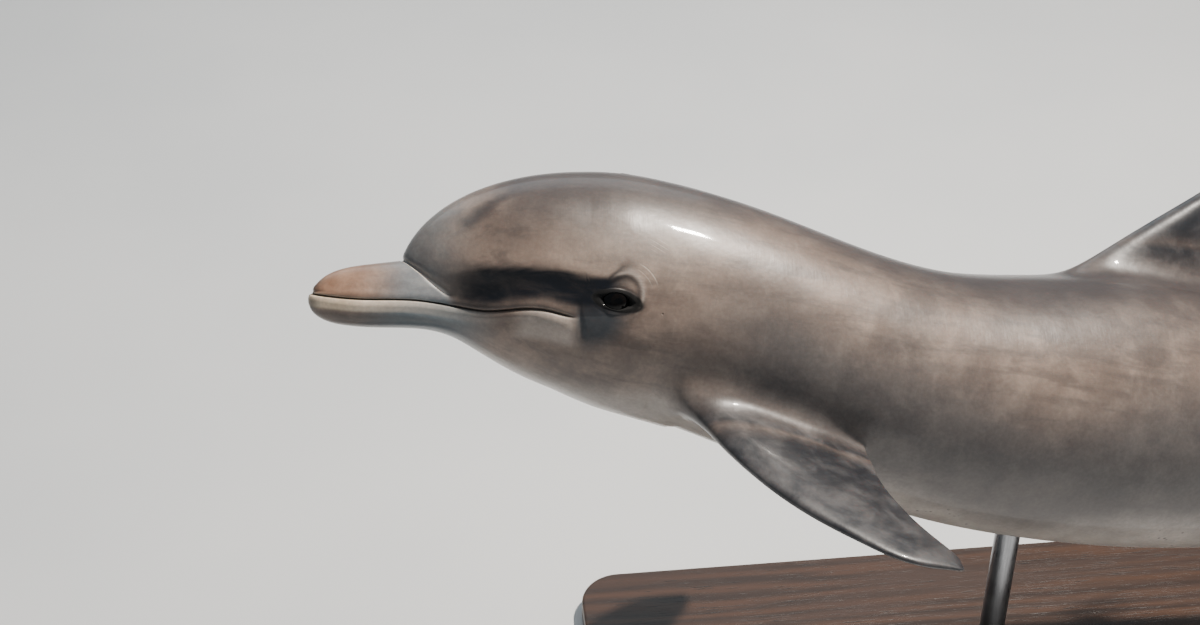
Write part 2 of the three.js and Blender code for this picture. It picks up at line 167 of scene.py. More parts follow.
beak_side_line = spline(
    (0, .028), (.050, .0345), (.100, .041), (.150, .051), (.200, .0665), (.250, .083), (.300, .0965),
    (.360, .105), (.450, .105),
)


def hull_radius(x, cosine, sine):
    """From the mouth line to the form of head and trunk, an ellipse that may sit off the line."""
    aft = np.maximum(x, BODY_START)
    inside = np.maximum(x, MELON_FRONT + 1e-5)
    top = mix(FOREHEAD_BASE, back_line(aft), rise(inside, MELON_FRONT, **FOREHEAD_RISE))
    bottom = mix(FOREHEAD_BASE, belly_line(aft), rise(inside, MELON_FRONT, **THROAT_RISE))
    width = side_line(aft) * rise(inside, MELON_FRONT, **CHEEK_RISE)
    tall = (top - bottom) / 2
    offset = (top + bottom) / 2 - mouth_line(x)
    a = (cosine / width) ** 2 + (sine / tall) ** 2
    b = offset * sine / tall**2
    c = (offset / tall) ** 2 - 1
    keel = keel_line(x) * np.exp(-((cosine / KEEL_WIDTH) ** 2))
    radius = (b + np.sqrt(np.maximum(b * b - a * c, 0))) / a + keel
    return np.where(x > MELON_FRONT, radius, 0)


def beak_radius(x, cosine, sine):
    """From the mouth line to the form of the beak and jaw."""
    x = np.maximum(x, 1e-7)
    width = beak_side_line(x) * rise(x, 0, **BEAK_SIDE_RISE)
    above = (beak_top_line(x) - mouth_line(x)) * rise(x, 0, **BEAK_TOP_RISE)
    below = (mouth_line(x) - jaw_line(x)) * rise(x, 0, **JAW_RISE)
    tall = np.where(sine >= 0, above, below)
    n = BEAK_SQUARENESS
    radius = (np.abs(cosine / width) ** n + np.abs(sine / tall) ** n) ** (-1 / n)
    return np.where(x < BEAK_END, radius, 0)


def body_radius(x, angle):
    """From the mouth line to the plain form, rounded off at the tail's end."""
    cosine, sine = np.cos(angle), np.sin(angle)
    width = mix(BEAK_BLEND, CHEEK_BLEND, smooth(.130, .270, x))
    form = smooth_max(hull_radius(x, cosine, sine), beak_radius(x, cosine, sine), width)
    past = np.maximum(x - (TAIL_END - TAIL_ROUND), 0) / TAIL_ROUND
    return form * np.sqrt(np.maximum(1 - past**2, 0))


def plain_skin(x, angle):
    """Points of the skin without its relief."""
    r = body_radius(x, angle)
    return np.stack([x + 0 * r, r * np.cos(angle), mouth_line(x) + r * np.sin(angle)], -1)


def side_angle(x, height_above_mouth):
    """The angle above the mouth line's level at which the skin stands that high over the line."""
    angle = 0.0
    for _ in range(40):
        angle = math.asin(height_above_mouth / float(body_radius(np.float64(x), angle)))
    return angle


# ---------------------------------------------------------------- relief of the skin

EYE_X, EYE_Z, EYE_RADIUS, EYE_PROUD = 0.340, 0.049, 0.019, 0.0030
EYE_TILT = math.radians(-16)
EYE_HALF_LONG, EYE_HALF_HIGH = 0.0232, 0.0098
BROW_FAR, BROW_FLATNESS = 0.0325, 1.24
GAPE_FADE = (0.276, 0.304)
NECK_FOLD_WIDTH, NECK_FOLD_DEPTH = 0.034, 0.00022
JAW_REACH = 0.0035


def eye_plane(x, up):
    """Place seen square on to the eye: along its opening, and over it."""
    a, b = x - EYE_X, up - (EYE_Z - mouth_line(EYE_X))
    return a * math.cos(EYE_TILT) + b * math.sin(EYE_TILT), b * math.cos(EYE_TILT) - a * math.sin(EYE_TILT)


def mouth_gap(x, r, level):
    """How far the skin lies over or under the closed mouth's line."""
    return mix(r * np.sin(level), r * level, smooth(.004, .034, x))


def crease_step(x, cosine, sine):
    """How far the head's form stands over the beak's; 0 in the crease between them."""
    return hull_radius(x, cosine, sine) - beak_radius(x, cosine, sine)


def mouth_relief(x, gap):
    """The closed mouth's groove and the rolls of the lips on both sides of it."""
    present = 1 - smooth(*GAPE_FADE, x)
    groove_width = .0012 + .0007 * smooth(.15, .30, x)
    groove = ridge(gap, at=0, width=groove_width, height=.0036)
    upper_lip = ridge(gap, at=.0065, width=.0045, height=.0012)
    lower_lip = ridge(gap, at=-.0070, width=.0050, height=.0010)
    return present * (upper_lip + lower_lip - groove)


def crease_relief(x, angle, level):
    """The crease between beak and forehead."""
    groove = ridge(crease_step(x, np.cos(angle), np.sin(angle)), at=0, width=.0036, height=.0028)
    return -groove * smooth(-.02, .05, level) * (1 - smooth(.148, .165, x))


def cheek_relief(x, up):
    """The long hollow between forehead and upper lip, and the low ridge over it."""
    reach = smooth(.140, .195, x) * (1 - smooth(.285, .330, x))
    hollow = ridge(up, at=.027, width=.0175, height=.0032)
    return reach * (ridge(up, at=.054, width=.0110, height=.0022) - hollow)


def gape_relief(x, up):
    """Folds at the corner of the mouth."""
    fold = from_segment(x, up, (.2968, .0140), (.3080, -.0200))
    pad = from_segment(x, up, (.262, -.012), (.288, -.014))
    return ridge(pad, at=0, width=.010, height=.0022) - ridge(fold, at=0, width=.0030, height=.0016)


def brow_relief(x, up):
    """The fold that goes round the back of the eye, and the furrow inside it."""
    along, over = eye_plane(x, up)
    far = np.hypot(BROW_FLATNESS * along, over)
    turn = np.degrees(np.arctan2(over, along))
    behind = smooth(-60, -10, turn) * (1 - smooth(115, 160, turn))
    fold = ridge(far, at=BROW_FAR, width=.0048, height=.0016)
    furrow = ridge(far, at=BROW_FAR - .0072, width=.0042, height=.0012)
    return behind * (fold - furrow)


def neck_relief(x, level):
    """Soft folds across the neck."""
    folds = np.sin((x - .400) * 2 * math.pi / NECK_FOLD_WIDTH + 1.5 * level)
    neck = between(x, .415, .470, .030) * smooth(-.9, -.3, level) * (1 - smooth(.2, .6, level))
    return NECK_FOLD_DEPTH * folds * neck


def skin(x, angle):
    """Points of the skin with its relief, before the tail is bent."""
    x, angle = np.broadcast_arrays(np.asarray(x, float), np.asarray(angle, float))
    point = plain_skin(x, angle)
    step = np.minimum(.0012, .4 * x + 1e-4)
    along = plain_skin(x + step, angle) - plain_skin(np.maximum(x - step, 1e-6), angle)
    around = plain_skin(x, angle + .01) - plain_skin(x, angle - .01)
    normal = np.cross(around, along)
    normal /= np.maximum(np.linalg.norm(normal, axis=-1, keepdims=True), 1e-12)
    r = np.hypot(point[..., 1], point[..., 2] - mouth_line(x))
    level = np.arctan2(np.sin(angle), np.abs(np.cos(angle)))
    up = r * np.sin(angle)
    relief = mouth_relief(x, mouth_gap(x, r, level)) + crease_relief(x, angle, level)
    relief = relief + cheek_relief(x, up) + gape_relief(x, up) + brow_relief(x, up) + neck_relief(x, level)
    relief *= smooth(-.002, .0015, x)
    point = point + normal * relief[..., None]
    # The lower jaw reaches a little past the upper beak.
    point[..., 0] += JAW_REACH * smooth(.0, .35, level) * (1 - smooth(.0, .060, x))
    return point


# ---------------------------------------------------------------- pose

NOSE_UP, ROLL = math.radians(14), math.radians(32.3)
NOSE_PLACE = np.array([-0.960, 0, 0.800])
BEND_START, BEND_END, BEND = 1.000, 2.150, math.radians(13)
BEND_STEP = 0.001

turned = Matrix.Rotation(NOSE_UP, 3, "Y") @ Matrix.Rotation(-ROLL, 3, "X")
AXES = np.array(turned).T
bend_steps = np.arange(0, LENGTH + .2, BEND_STEP)
bend_angles = BEND * smooth(BEND_START, BEND_END, bend_steps)
bend_x = np.concatenate([[0], np.cumsum(np.cos(bend_angles[1:]) * BEND_STEP)])
bend_z = np.concatenate([[0], np.cumsum(np.sin(bend_angles[1:]) * BEND_STEP)])


def posed(points):
    """Straight animal to its place on the stand: tail bent up, nose up, rolled to its right."""
    x, y, z = points[..., 0], points[..., 1], points[..., 2]
    spine = np.maximum(x, 0)
    angle = np.interp(spine, bend_steps, bend_angles)
    bent_x = np.interp(spine, bend_steps, bend_x) + np.minimum(x, 0) - z * np.sin(angle)
    bent_z = np.interp(spine, bend_steps, bend_z) + z * np.cos(angle)
    return NOSE_PLACE + np.stack([bent_x, y, bent_z], -1) @ AXES


# ---------------------------------------------------------------- fins

FIN_EDGE, FIN_TAPER = 0.0011, 0.8
# Makes the thickest place of a fin's section 1.
SECTION_PEAK = 2.598


def unit(v):
    """The direction of a vector, of length 1."""
    return np.array(v, float) / np.linalg.norm(v)


class Fin:
    """A fin with a curved outline: lead and trail are its edges' places along the chord, root to tip."""

    def __init__(
        self, root, span, chord, length, thick, tip, bow, lead, trail, within=-.30, round_from=.93,
    ):
        self.root, self.span = np.array(root, float), unit(span)
        self.chord = unit(np.array(chord, float) - self.span * np.dot(chord, self.span))
        self.up = np.cross(self.chord, self.span)
        self.length, self.thick, self.tip, self.bow = length, thick, tip, bow
        self.lead, self.trail, self.within = spline(*lead), spline(*trail), within
        self.round_from = round_from

    def mirrored(self):
        """The same fin on the other side."""
        twin = Fin.__new__(Fin)
        twin.__dict__.update(self.__dict__)
        flip = np.array([1, -1, 1])
        twin.root, twin.span, twin.chord = self.root * flip, self.span * flip, self.chord * flip
        twin.up = self.up * flip
        return twin

    def points(self, s, u, side):
        """Surface points at shares s of the span; u goes once round the section from its front edge."""
        s, u = np.broadcast_arrays(np.asarray(s, float), np.asarray(u, float))
        out = np.clip(s, 0, 1)
        share = (1 - np.cos(2 * math.pi * u)) / 2
        past = np.clip((s - self.round_from) / (1.0002 - self.round_from), 0, 1)
        closing = np.sqrt(1 - past**2)
        lead, trail = self.lead(out), self.trail(out)
        middle, half_chord = (lead + trail) / 2, (trail - lead) / 2 * closing
        along = middle + half_chord * (2 * share - 1)
        half = (self.thick * (1 - out) ** FIN_TAPER + self.tip) / 2
        section = SECTION_PEAK * np.sqrt(share) * (1 - share)
        edge = FIN_EDGE * np.sqrt(np.abs(np.sin(2 * math.pi * u)))
        rise_up = np.sign(np.sin(2 * math.pi * u)) * (half * section + edge) * closing * side
        offset = rise_up + self.bow * s * np.abs(s)
        return (
            self.root + self.span * (self.length * s)[..., None] + self.chord * along[..., None]
            + self.up * offset[..., None]
        )

    def meets_skin(self, u, side):
        """The share of the span at which each line along the fin comes out of the body."""
        low, high = np.full(len(u), self.within), np.full(len(u), .45)
        for _ in range(40):
            s = (low + high) / 2
            p = self.points(s, u, side)
            up = p[:, 2] - mouth_line(p[:, 0])
            outside = np.hypot(p[:, 1], up) > body_radius(p[:, 0], np.arctan2(up, p[:, 1]))
            low, high = np.where(outside, low, s), np.where(outside, s, high)
        return (low + high) / 2


FLIPPER = {
    "root": (.514, -.107, -.064), "length": .330, "thick": .033, "tip": .004, "bow": -.010,
    "lead": [(0, -.064), (.15, -.070), (.35, -.070), (.6, -.054), (.8, -.026), (.93, .006), (1, .044)],
    "trail": [
        (0, .063), (.12, .090), (.24, .109), (.31, .112), (.42, .094), (.6, .073), (.8, .066), (.93, .065),
        (1, .059),
    ],
}
flipper_left = Fin(span=(.443, -.801, -.402), chord=(.895, .416, .159), **FLIPPER)
# The right flipper is held a little higher.
flipper_right = Fin(span=(.443, -.871, -.212), chord=(.895, .441, .061), **FLIPPER).mirrored()
dorsal_fin = Fin(
    root=(1.135, 0, .170), span=(0, 0, 1), chord=(1, 0, 0), length=.235, thick=.046, tip=.005, bow=0,
    lead=[(0, -.182), (.1, -.147), (.3, -.084), (.5, -.020), (.7, .043), (.88, .106), (1, .168)],
    trail=[(0, .190), (.08, .135), (.25, .090), (.45, .080), (.65, .092), (.85, .130), (1, .174)],
    round_from=.88,
)
fluke_left = Fin(
    root=(2.295, 0, .1065), span=(0, -1, 0), chord=(1, 0, 0), length=.300, thick=.020, tip=.004, bow=.010,
    lead=[(0, -.125), (.12, -.088), (.3, -.050), (.5, -.008), (.7, .042), (.88, .094), (1, .152)],
    trail=[
        (0, .068), (.05, .086), (.1, .108), (.16, .120), (.3, .119), (.5, .110), (.7, .114), (.88, .133),
        (1, .158),
    ],
    within=0,
)

# ---------------------------------------------------------------- skin mesh

BODY, FIN, LID, SOCKET, NOSTRIL = range(5)
EASE_PULL = 0.6


class Skin:
    """Collects the points and faces of the skin, with each point's place on the straight animal."""

    def __init__(self):
        self.points, self.faces, self.tags = [], [], []
        self.finned, self.soft = [], []
        self.count = 0

    def add(self, points, tag, finned=0.0, soft=0.0):
        """Adds points; finned is how much a point belongs to a fin, and soft how far it may be eased."""
        points = np.asarray(points, float).reshape(-1, 3)
        self.points.append(points)
        for values, value in ((self.tags, tag), (self.finned, finned), (self.soft, soft)):
            values.append(np.full(len(points), value))
        self.count += len(points)
        return np.arange(self.count - len(points), self.count)

    def bridge(self, outer, inner):
        """A closed strip of faces between two loops of as many points."""
        for a, b, c, d in zip(outer, np.roll(outer, -1), np.roll(inner, -1), inner):
            self.faces.append((a, b, c, d))

    def loop_on(self, loop, points, tag, finned=0.0, soft=0.0):
        """Adds a loop of points, joined to the one before by a strip of faces."""
        inner = self.add(points, tag, finned, soft)
        self.bridge(loop, inner)
        return inner

    def fan(self, loop, point, tag):
        """Closes a loop with faces that meet in one point."""
        centre = self.add(point, tag)[0]
        for a, b in zip(loop, np.roll(loop, -1)):
            self.faces.append((a, b, centre))

    def fold_shut(self, loop):
        """Closes a flat loop whose first point is its front edge, like an envelope."""
        n = len(loop)
        self.faces.append((loop[0], loop[1], loop[n - 1]))
        for k in range(1, n // 2 - 1):
            self.faces.append((loop[k], loop[k + 1], loop[n - k - 1], loop[n - k]))
        self.faces.append((loop[n // 2 - 1], loop[n // 2], loop[n // 2 + 1]))

    def ease(self, times):
        """Draws the soft points towards the middle of their neighbours, which rounds the fins' roots."""
        points, soft = np.concatenate(self.points), np.concatenate(self.soft)
        pairs = [(a, b) for face in self.faces for a, b in zip(face, (*face[1:], face[0]))]
        pairs = np.array([p for p in pairs if soft[p[0]] + soft[p[1]] > 0])
        pairs = np.unique(np.sort(pairs, axis=1), axis=0)
        one, two = pairs[:, 0], pairs[:, 1]
        count = np.bincount(one, minlength=len(points)) + np.bincount(two, minlength=len(points))
        count = np.maximum(count, 1)[:, None]
        for _ in range(times):
            total = np.stack([
                np.bincount(one, at[two], len(at)) + np.bincount(two, at[one], len(at)) for at in points.T
            ], -1)
            points = points + EASE_PULL * soft[:, None] * (total / count - points)
        return points


CREASE_RING = 0.1265
COLUMN_STEP, COLUMN_GROWTH, COLUMN_WIDEST = 0.006, 1.17, 0.047


def spaced(start, end, step):
    """Places from start, which is left out, to end, about a step apart."""
    return np.linspace(start, end, max(int(round((end - start) / step)), 1) + 1)[1:]


def ring_places():
    """Where the rings of points go along the animal: close together where the skin has most detail."""
    tip = .060 * (np.arange(1, 23) / 22) ** 1.8
    head = [
        spaced(.060, .108, .0024), spaced(.108, .1245, .0012), spaced(.1245, .1300, .0005),
        spaced(.1300, .1420, .0012), spaced(.1420, .300, .0027),
        spaced(.300, .384, .0021), spaced(.384, .396, .0034),
    ]
    trunk = [
        spaced(.396, .680, .006), spaced(.680, .885, .011),
        spaced(.885, 1.400, .008), spaced(1.400, 2.130, .015), spaced(2.130, 2.330, .006),
    ]
    tail_cap = TAIL_END - TAIL_ROUND + TAIL_ROUND * np.sin(np.arange(1, 14) / 14 * math.pi / 2)
    head_places = np.concatenate([tip, *head])
    return np.concatenate([head_places, *trunk, tail_cap]), len(head_places)


def column_angles():
    """Angles of the columns round the head, closest at the mouth line."""
    quarter = [0.0]
    step = COLUMN_STEP
    while quarter[-1] < math.pi / 2:
        quarter.append(quarter[-1] + step)
        step = min(step * (1.0 if len(quarter) < 7 else COLUMN_GROWTH), COLUMN_WIDEST)
    quarter = np.array(quarter) * (math.pi / 2) / quarter[-1]
    if len(quarter) % 2 == 0:
        extra = (quarter[-1] + quarter[-2]) / 2
        quarter = np.insert(quarter, len(quarter) - 1, extra)
    half = np.concatenate([quarter, math.pi - quarter[-2::-1]])
    return np.concatenate([half, half[1:-1] + math.pi])


def crease_place(angle):
    """How far aft the crease between beak and forehead lies at each angle."""
    level = np.abs(np.arctan2(np.sin(angle), np.abs(np.cos(angle))))
    cosine, sine = np.cos(level), np.sin(level)
    low, high = np.full(len(angle), MELON_FRONT), np.full(len(angle), .158)
    for _ in range(30):
        middle = (low + high) / 2
        inside = hull_radius(middle, cosine, sine) > beak_radius(middle, cosine, sine)
        low, high = np.where(inside, low, middle), np.where(inside, middle, high)
    return low


def ring_line(place, angles):
    """A ring's places: level round the animal, but leaning with the crease near it."""
    level = np.arctan2(np.sin(angles), np.abs(np.cos(angles)))
    lean = (crease_place(angles) - CREASE_RING) * smooth(-.9, .05, level)
    before = smooth(.030, CREASE_RING, place)
    behind = 1 - smooth(CREASE_RING, .245, place)
    return place + lean * np.where(place < CREASE_RING, before, behind)


places, head_rings = ring_places()
fine_angles = column_angles()
coarse_angles = fine_angles[::2]


class Patch:
    """A rectangle of the body's grid that is left open, and the loop of points round it."""

    def __init__(self, x_from, x_to, angle_from, angle_to):
        self.rows = np.searchsorted(places, [x_from, x_to])
        on_head = self.rows[0] < head_rings
        self.angles = fine_angles if on_head else coarse_angles
        twice_round = np.concatenate([self.angles, self.angles + 2 * math.pi])
        first, past = np.searchsorted(twice_round, [angle_from - 1e-6, angle_to + 1e-6])
        self.columns = first, past - 1
        (i0, i1), (j0, j1) = self.rows, self.columns
        corners = [(i0, j) for j in range(j0, j1)] + [(i, j1) for i in range(i0, i1)]
        corners += [(i1, j) for j in range(j1, j0, -1)] + [(i, j0) for i in range(i1, i0, -1)]
        self.loop = corners
        self.x = places[[i for i, _ in corners]]
        wrapped = [j % len(self.angles) for _, j in corners]
        turns = np.array([j // len(self.angles) for _, j in corners]) * 2 * math.pi
        self.angle = self.angles[wrapped] + turns
        n = len(corners)
        self.u = (np.arange(n) - (j1 - j0) / 2) / n

    def covers(self, i, j):
        """Whether the cell after ring i and column j is inside."""
        (i0, i1), (j0, j1) = self.rows, self.columns
        columns = len(self.angles)
        return i0 <= i < i1 and (j0 <= j < j1 or j0 <= j + columns < j1)


def even_out(a, b, times):
    """Unit directions round a loop, blended with their neighbours."""
    for _ in range(times):
        size = np.maximum(np.hypot(a, b), 1e-12)
        a, b = a / size, b / size
        a = (np.roll(a, 1) + 2 * a + np.roll(a, -1)) / 4
        b = (np.roll(b, 1) + 2 * b + np.roll(b, -1)) / 4
    size = np.maximum(np.hypot(a, b), 1e-12)
    return a / size, b / size


def surface_loops(body, patch, loop, x_end, angle_end, steps, soft=0.0):
    """Loops on the skin from the patch's edge to a smaller outline; gives the last one."""
    for k in range(1, steps + 1):
        share = k / steps
        points = skin(mix(patch.x, x_end, share), mix(patch.angle, angle_end, share))
        loop = body.loop_on(loop, points, BODY, soft=soft * share**2)
    return loop


def fin_foot(patch, fin, side):
    """Where a fin comes out of the body: shares of its span, points, and their angles round the body."""
    crossing = fin.meets_skin(patch.u, side)
    foot = fin.points(crossing, patch.u, side)
    angle = np.arctan2(foot[:, 2] - mouth_line(foot[:, 0]), foot[:, 1])
    angle += 2 * math.pi * np.round((patch.angle.mean() - angle) / (2 * math.pi))
    return crossing, foot, angle


def grow_fin(body, patch, loop, fin, fillet, skin_steps, fillet_steps, span_steps):
    """Joins a fin to its patch by a rounded fillet and closes it at the tip."""
    x, angle = patch.x.mean(), patch.angle.mean()
    onward = plain_skin(x, angle + .01) - plain_skin(x, angle)
    side = 1.0 if np.dot(onward, fin.up) > 0 else -1.0
    crossing, foot, foot_angle = fin_foot(patch, fin, side)
    r = body_radius(foot[:, 0], foot_angle)
    tangent_x = np.roll(foot[:, 0], -1) - np.roll(foot[:, 0], 1)
    tangent_b = (np.roll(foot_angle, -1) - np.roll(foot_angle, 1)) * r
    out_x, out_b = even_out(-tangent_b, tangent_x, 6)
    outward = np.sign(np.mean(out_x * (foot[:, 0] - foot[:, 0].mean())))
    share = (1 - np.cos(2 * math.pi * patch.u)) / 2
    fillet = fillet * (1 - .60 * smooth(.70, 1, share))
    wide_x = foot[:, 0] + outward * out_x * fillet
    wide_angle = foot_angle + outward * out_b * fillet / r
    loop = surface_loops(body, patch, loop, wide_x, wide_angle, skin_steps, soft=1.0)
    start, corner = skin(wide_x, wide_angle), skin(foot[:, 0], foot_angle)
    leave = crossing + 1.4 * fillet / fin.length
    end = fin.points(leave, patch.u, side)
    for k in range(1, fillet_steps + 1):
        t = k / fillet_steps
        curve = (1 - t) ** 2 * start + 2 * t * (1 - t) * corner + t * t * end
        loop = body.loop_on(loop, curve, BODY, finned=float(smooth(.15, 1.1, t)), soft=1.0)
    for k in range(1, span_steps + 1):
        t = math.sin(k / span_steps * math.pi / 2) ** .95
        finned, soft = float(smooth(-.10, .16, t)), .8 * float(1 - smooth(0, .12, t))
        loop = body.loop_on(loop, fin.points(mix(leave, .9995, t), patch.u, side), FIN, finned, soft)
    first = int(np.argmin(np.abs(patch.u)))
    body.fold_shut(np.roll(loop, -first))


EYE_HEIGHT = EYE_Z - float(mouth_line(EYE_X))
EYE_LEVEL = side_angle(EYE_X, EYE_HEIGHT)
BODY_AT_EYE = float(body_radius(np.float64(EYE_X), EYE_LEVEL))
LID_REACH, LID_EVENNESS = 1.50, 0.6
LID_SCALES = (*np.linspace(1.46, 1.09, 11), 1.06, 1.03, 1.01, 1.0)
LID_CLEARANCE, SOCKET_CLEARANCE = 0.0013, 0.0003


def eye_centre(side):
    """Centre of the eyeball on the straight animal."""
    half_width = BODY_AT_EYE * math.cos(EYE_LEVEL)
    return np.array([EYE_X, side * (half_width + EYE_PROUD - EYE_RADIUS), EYE_Z])


class EyeOpening:
    """The almond outline of one eye's opening, and larger outlines like it, drawn on the skin."""

    def __init__(self, patch, side):
        self.side = side
        level = EYE_LEVEL if side > 0 else math.pi - EYE_LEVEL
        self.angle = level + 2 * math.pi * round((patch.angle.mean() - level) / (2 * math.pi))
        up = (patch.angle - self.angle) * BODY_AT_EYE * side
        turn = np.unwrap(np.arctan2(up, patch.x - EYE_X) - EYE_TILT)
        count = len(turn)
        self.even = turn[0] + np.arange(count) / count * 2 * math.pi * np.sign(turn[-1] - turn[0])
        self.start = mix(turn, self.even, LID_EVENNESS)

    def turn_at(self, scale):
        """Turns of a loop's points round the eye, evenly spaced at the opening itself."""
        return mix(self.start, self.even, (LID_REACH - scale) / (LID_REACH - 1))

    def outline(self, scale):
        """Places on the skin of an ellipse whose corners are drawn out to points."""
        turn = self.turn_at(scale)
        c, s = np.cos(turn), np.sin(turn)
        sharpness = mix(.15, .62, smooth(-.6, .8, c))
        pointed = mix(1.0, np.abs(s) ** sharpness, np.clip(2.0 - scale, 0, 1))
        hooded = mix(1.0, .84, smooth(-.2, .6, s))
        long = EYE_HALF_LONG * scale * c
        high = EYE_HALF_HIGH * (scale + 1.1 * (scale - 1)) * s * pointed * hooded
        x = long * math.cos(EYE_TILT) - high * math.sin(EYE_TILT)
        up = long * math.sin(EYE_TILT) + high * math.cos(EYE_TILT)
        return EYE_X + x, self.angle + self.side * up / BODY_AT_EYE


def drape_lids(body, loop, opening, centre):
    """Loops of the lids over the eyeball; gives the last one, its directions and its distances."""
    for scale in LID_SCALES:
        out = skin(*opening.outline(scale)) - centre
        distance = np.linalg.norm(out, axis=1)
        draped = smooth_max(distance, np.full_like(distance, EYE_RADIUS + LID_CLEARANCE), .0030)
        corner = np.abs(np.cos(opening.turn_at(scale))) ** 12 * smooth(1.35, 1.0, scale)
        rim = ridge(scale, at=1.10, width=.08, height=.0003)
        rim = rim - ridge(scale, at=1.34, width=.08, height=.0005)
        draped = draped + rim - .0022 * corner
        directions = out / distance[:, None]
        loop = body.loop_on(loop, centre + directions * draped[:, None], LID)
    return loop, directions, draped


def line_socket(body, loop, outward, toward, centre):
    """The pocket that holds the eyeball, from the lids' inner edge round its back."""
    across = toward - outward * (toward @ outward)[:, None]
    across /= np.linalg.norm(across, axis=1)[:, None]
    polar = np.arccos(np.clip(toward @ outward, -1, 1))
    for share in (.06, .15, .27, .4, .53, .66, .79, .92):
        angle = mix(polar, math.pi, share)
        lining = outward * np.cos(angle)[:, None] + across * np.sin(angle)[:, None]
        roomy = EYE_RADIUS + SOCKET_CLEARANCE + .0012 * share
        loop = body.loop_on(loop, centre + lining * roomy, SOCKET)
    body.fan(loop, centre - outward * (EYE_RADIUS + .0015), SOCKET)


def grow_eyelids(body, patch, loop, side):
    """Lids that drape over the eyeball, an almond opening, and a pocket that holds the ball."""
    centre, opening = eye_centre(side), EyeOpening(patch, side)
    loop = surface_loops(body, patch, loop, *opening.outline(LID_REACH), 14)
    loop, directions, draped = drape_lids(body, loop, opening, centre)
    outward = np.array([0, side, 0.0])
    for scale, depth in ((.985, .25), (.965, .65), (.955, 1.0)):
        toward = mix(outward, directions, scale)
        toward = toward / np.linalg.norm(toward, axis=1)[:, None]
        wanted = mix(draped, EYE_RADIUS + SOCKET_CLEARANCE, depth)
        loop = body.loop_on(loop, centre + toward * wanted[:, None], LID)
    line_socket(body, loop, outward, toward, centre)


BLOWHOLE_X, BLOWHOLE_HALF, BLOWHOLE_BOW = 0.352, 0.0130, 0.0065
CROWN_RADIUS = 0.168


def grow_blowhole(body, patch, loop):
    """A crescent slit on the crown, its ends forward, with a raised rim."""
    turn = np.unwrap(np.arctan2((patch.angle - math.pi / 2) * CROWN_RADIUS, patch.x - BLOWHOLE_X))
    for scale in (1.9, 1.65, 1.45, 1.3, 1.18, 1.08, 1.0):
        along = BLOWHOLE_HALF * scale * np.sin(turn)
        across = (.0010 + .0105 * (scale - 1)) * np.cos(turn)
        x = BLOWHOLE_X + across - BLOWHOLE_BOW * (along / BLOWHOLE_HALF) ** 2 / scale + .003
        point = skin(x, math.pi / 2 + along / CROWN_RADIUS)
        point[:, 2] += ridge(scale, at=1.22, width=.16, height=.0005) - .0010 * smooth(1.10, 1.0, scale)
        loop = body.loop_on(loop, point, NOSTRIL if scale < 1.1 else BODY)
    for depth in (.002, .005, .009):
        loop = body.loop_on(loop, point - np.array([0, 0, depth]), NOSTRIL)
    body.fan(loop, (point - np.array([0, 0, .010])).mean(0), NOSTRIL)


def open_patches():
    """Where the body's grid is left open for the eyes, the blowhole and the fins."""
    crown, left, right = math.pi / 2, math.pi, 2 * math.pi
    return {
        "eye_right": Patch(.298, .384, right - .09, right + .46),
        "eye_left": Patch(.298, .384, left - .46, left + .09),
        "blowhole": Patch(.330, .374, crown - .21, crown + .21),
        "flipper_left": Patch(.399, .681, left + .12, left + 1.30),
        "flipper_right": Patch(.399, .681, right - 1.20, right + .05),
        "dorsal": Patch(.890, 1.396, crown - .42, crown + .42),
        "fluke_left": Patch(2.140, 2.388, left - 1.22, left + 1.22),
        "fluke_right": Patch(2.140, 2.388, right - 1.22, right + 1.22),
    }


def lay_body(body, patches):
    """The body's rings of points, faces between them outside the patches, and both ends closed."""
    rings = []
    for i, x in enumerate(places):
        angles = fine_angles if i < head_rings else coarse_angles
        rings.append(body.add(skin(ring_line(x, angles), angles), BODY))
    for i, (ring, after) in enumerate(zip(rings, rings[1:])):
        n = len(ring)
        if len(after) != n:
            for k in range(len(after)):
                a, b, c = ring[2 * k], ring[2 * k + 1], ring[(2 * k + 2) % n]
                body.faces.append((a, b, c, after[(k + 1) % len(after)], after[k]))
            continue
        holes = [p for p in patches if p.rows[0] <= i < p.rows[1]]
        for j in range(n):
            if not any(p.covers(i, j) for p in holes):
                body.faces.append((ring[j], ring[(j + 1) % n], after[(j + 1) % n], after[j]))
    body.fan(rings[0][::-1], (.0032, 0, float(mouth_line(0))), BODY)
    body.fan(rings[-1], (TAIL_END, 0, float(mouth_line(TAIL_END))), BODY)
    return rings


def build_skin():
    """The whole skin as one closed mesh: body grid, lids, blowhole and fins."""
    body, patches = Skin(), open_patches()
    rings = lay_body(body, patches.values())

    def grow(name, add_to, *how):
        patch = patches[name]
        loop = np.array([rings[i][j % len(rings[i])] for i, j in patch.loop])
        add_to(body, patch, loop, *how)

    grow("eye_left", grow_eyelids, -1)
    grow("eye_right", grow_eyelids, 1)
    grow("blowhole", grow_blowhole)
    # Each fin: its fillet, and how many loops the skin round it, the fillet and the span get.
    grow("flipper_left", grow_fin, flipper_left, .034, 6, 10, 38)
    grow("flipper_right", grow_fin, flipper_right, .034, 6, 10, 38)
    grow("dorsal", grow_fin, dorsal_fin, .028, 5, 9, 30)
    grow("fluke_left", grow_fin, fluke_left, .008, 5, 6, 34)
    grow("fluke_right", grow_fin, fluke_left.mirrored(), .008, 5, 6, 34)
    return body


# ---------------------------------------------------------------- finishes


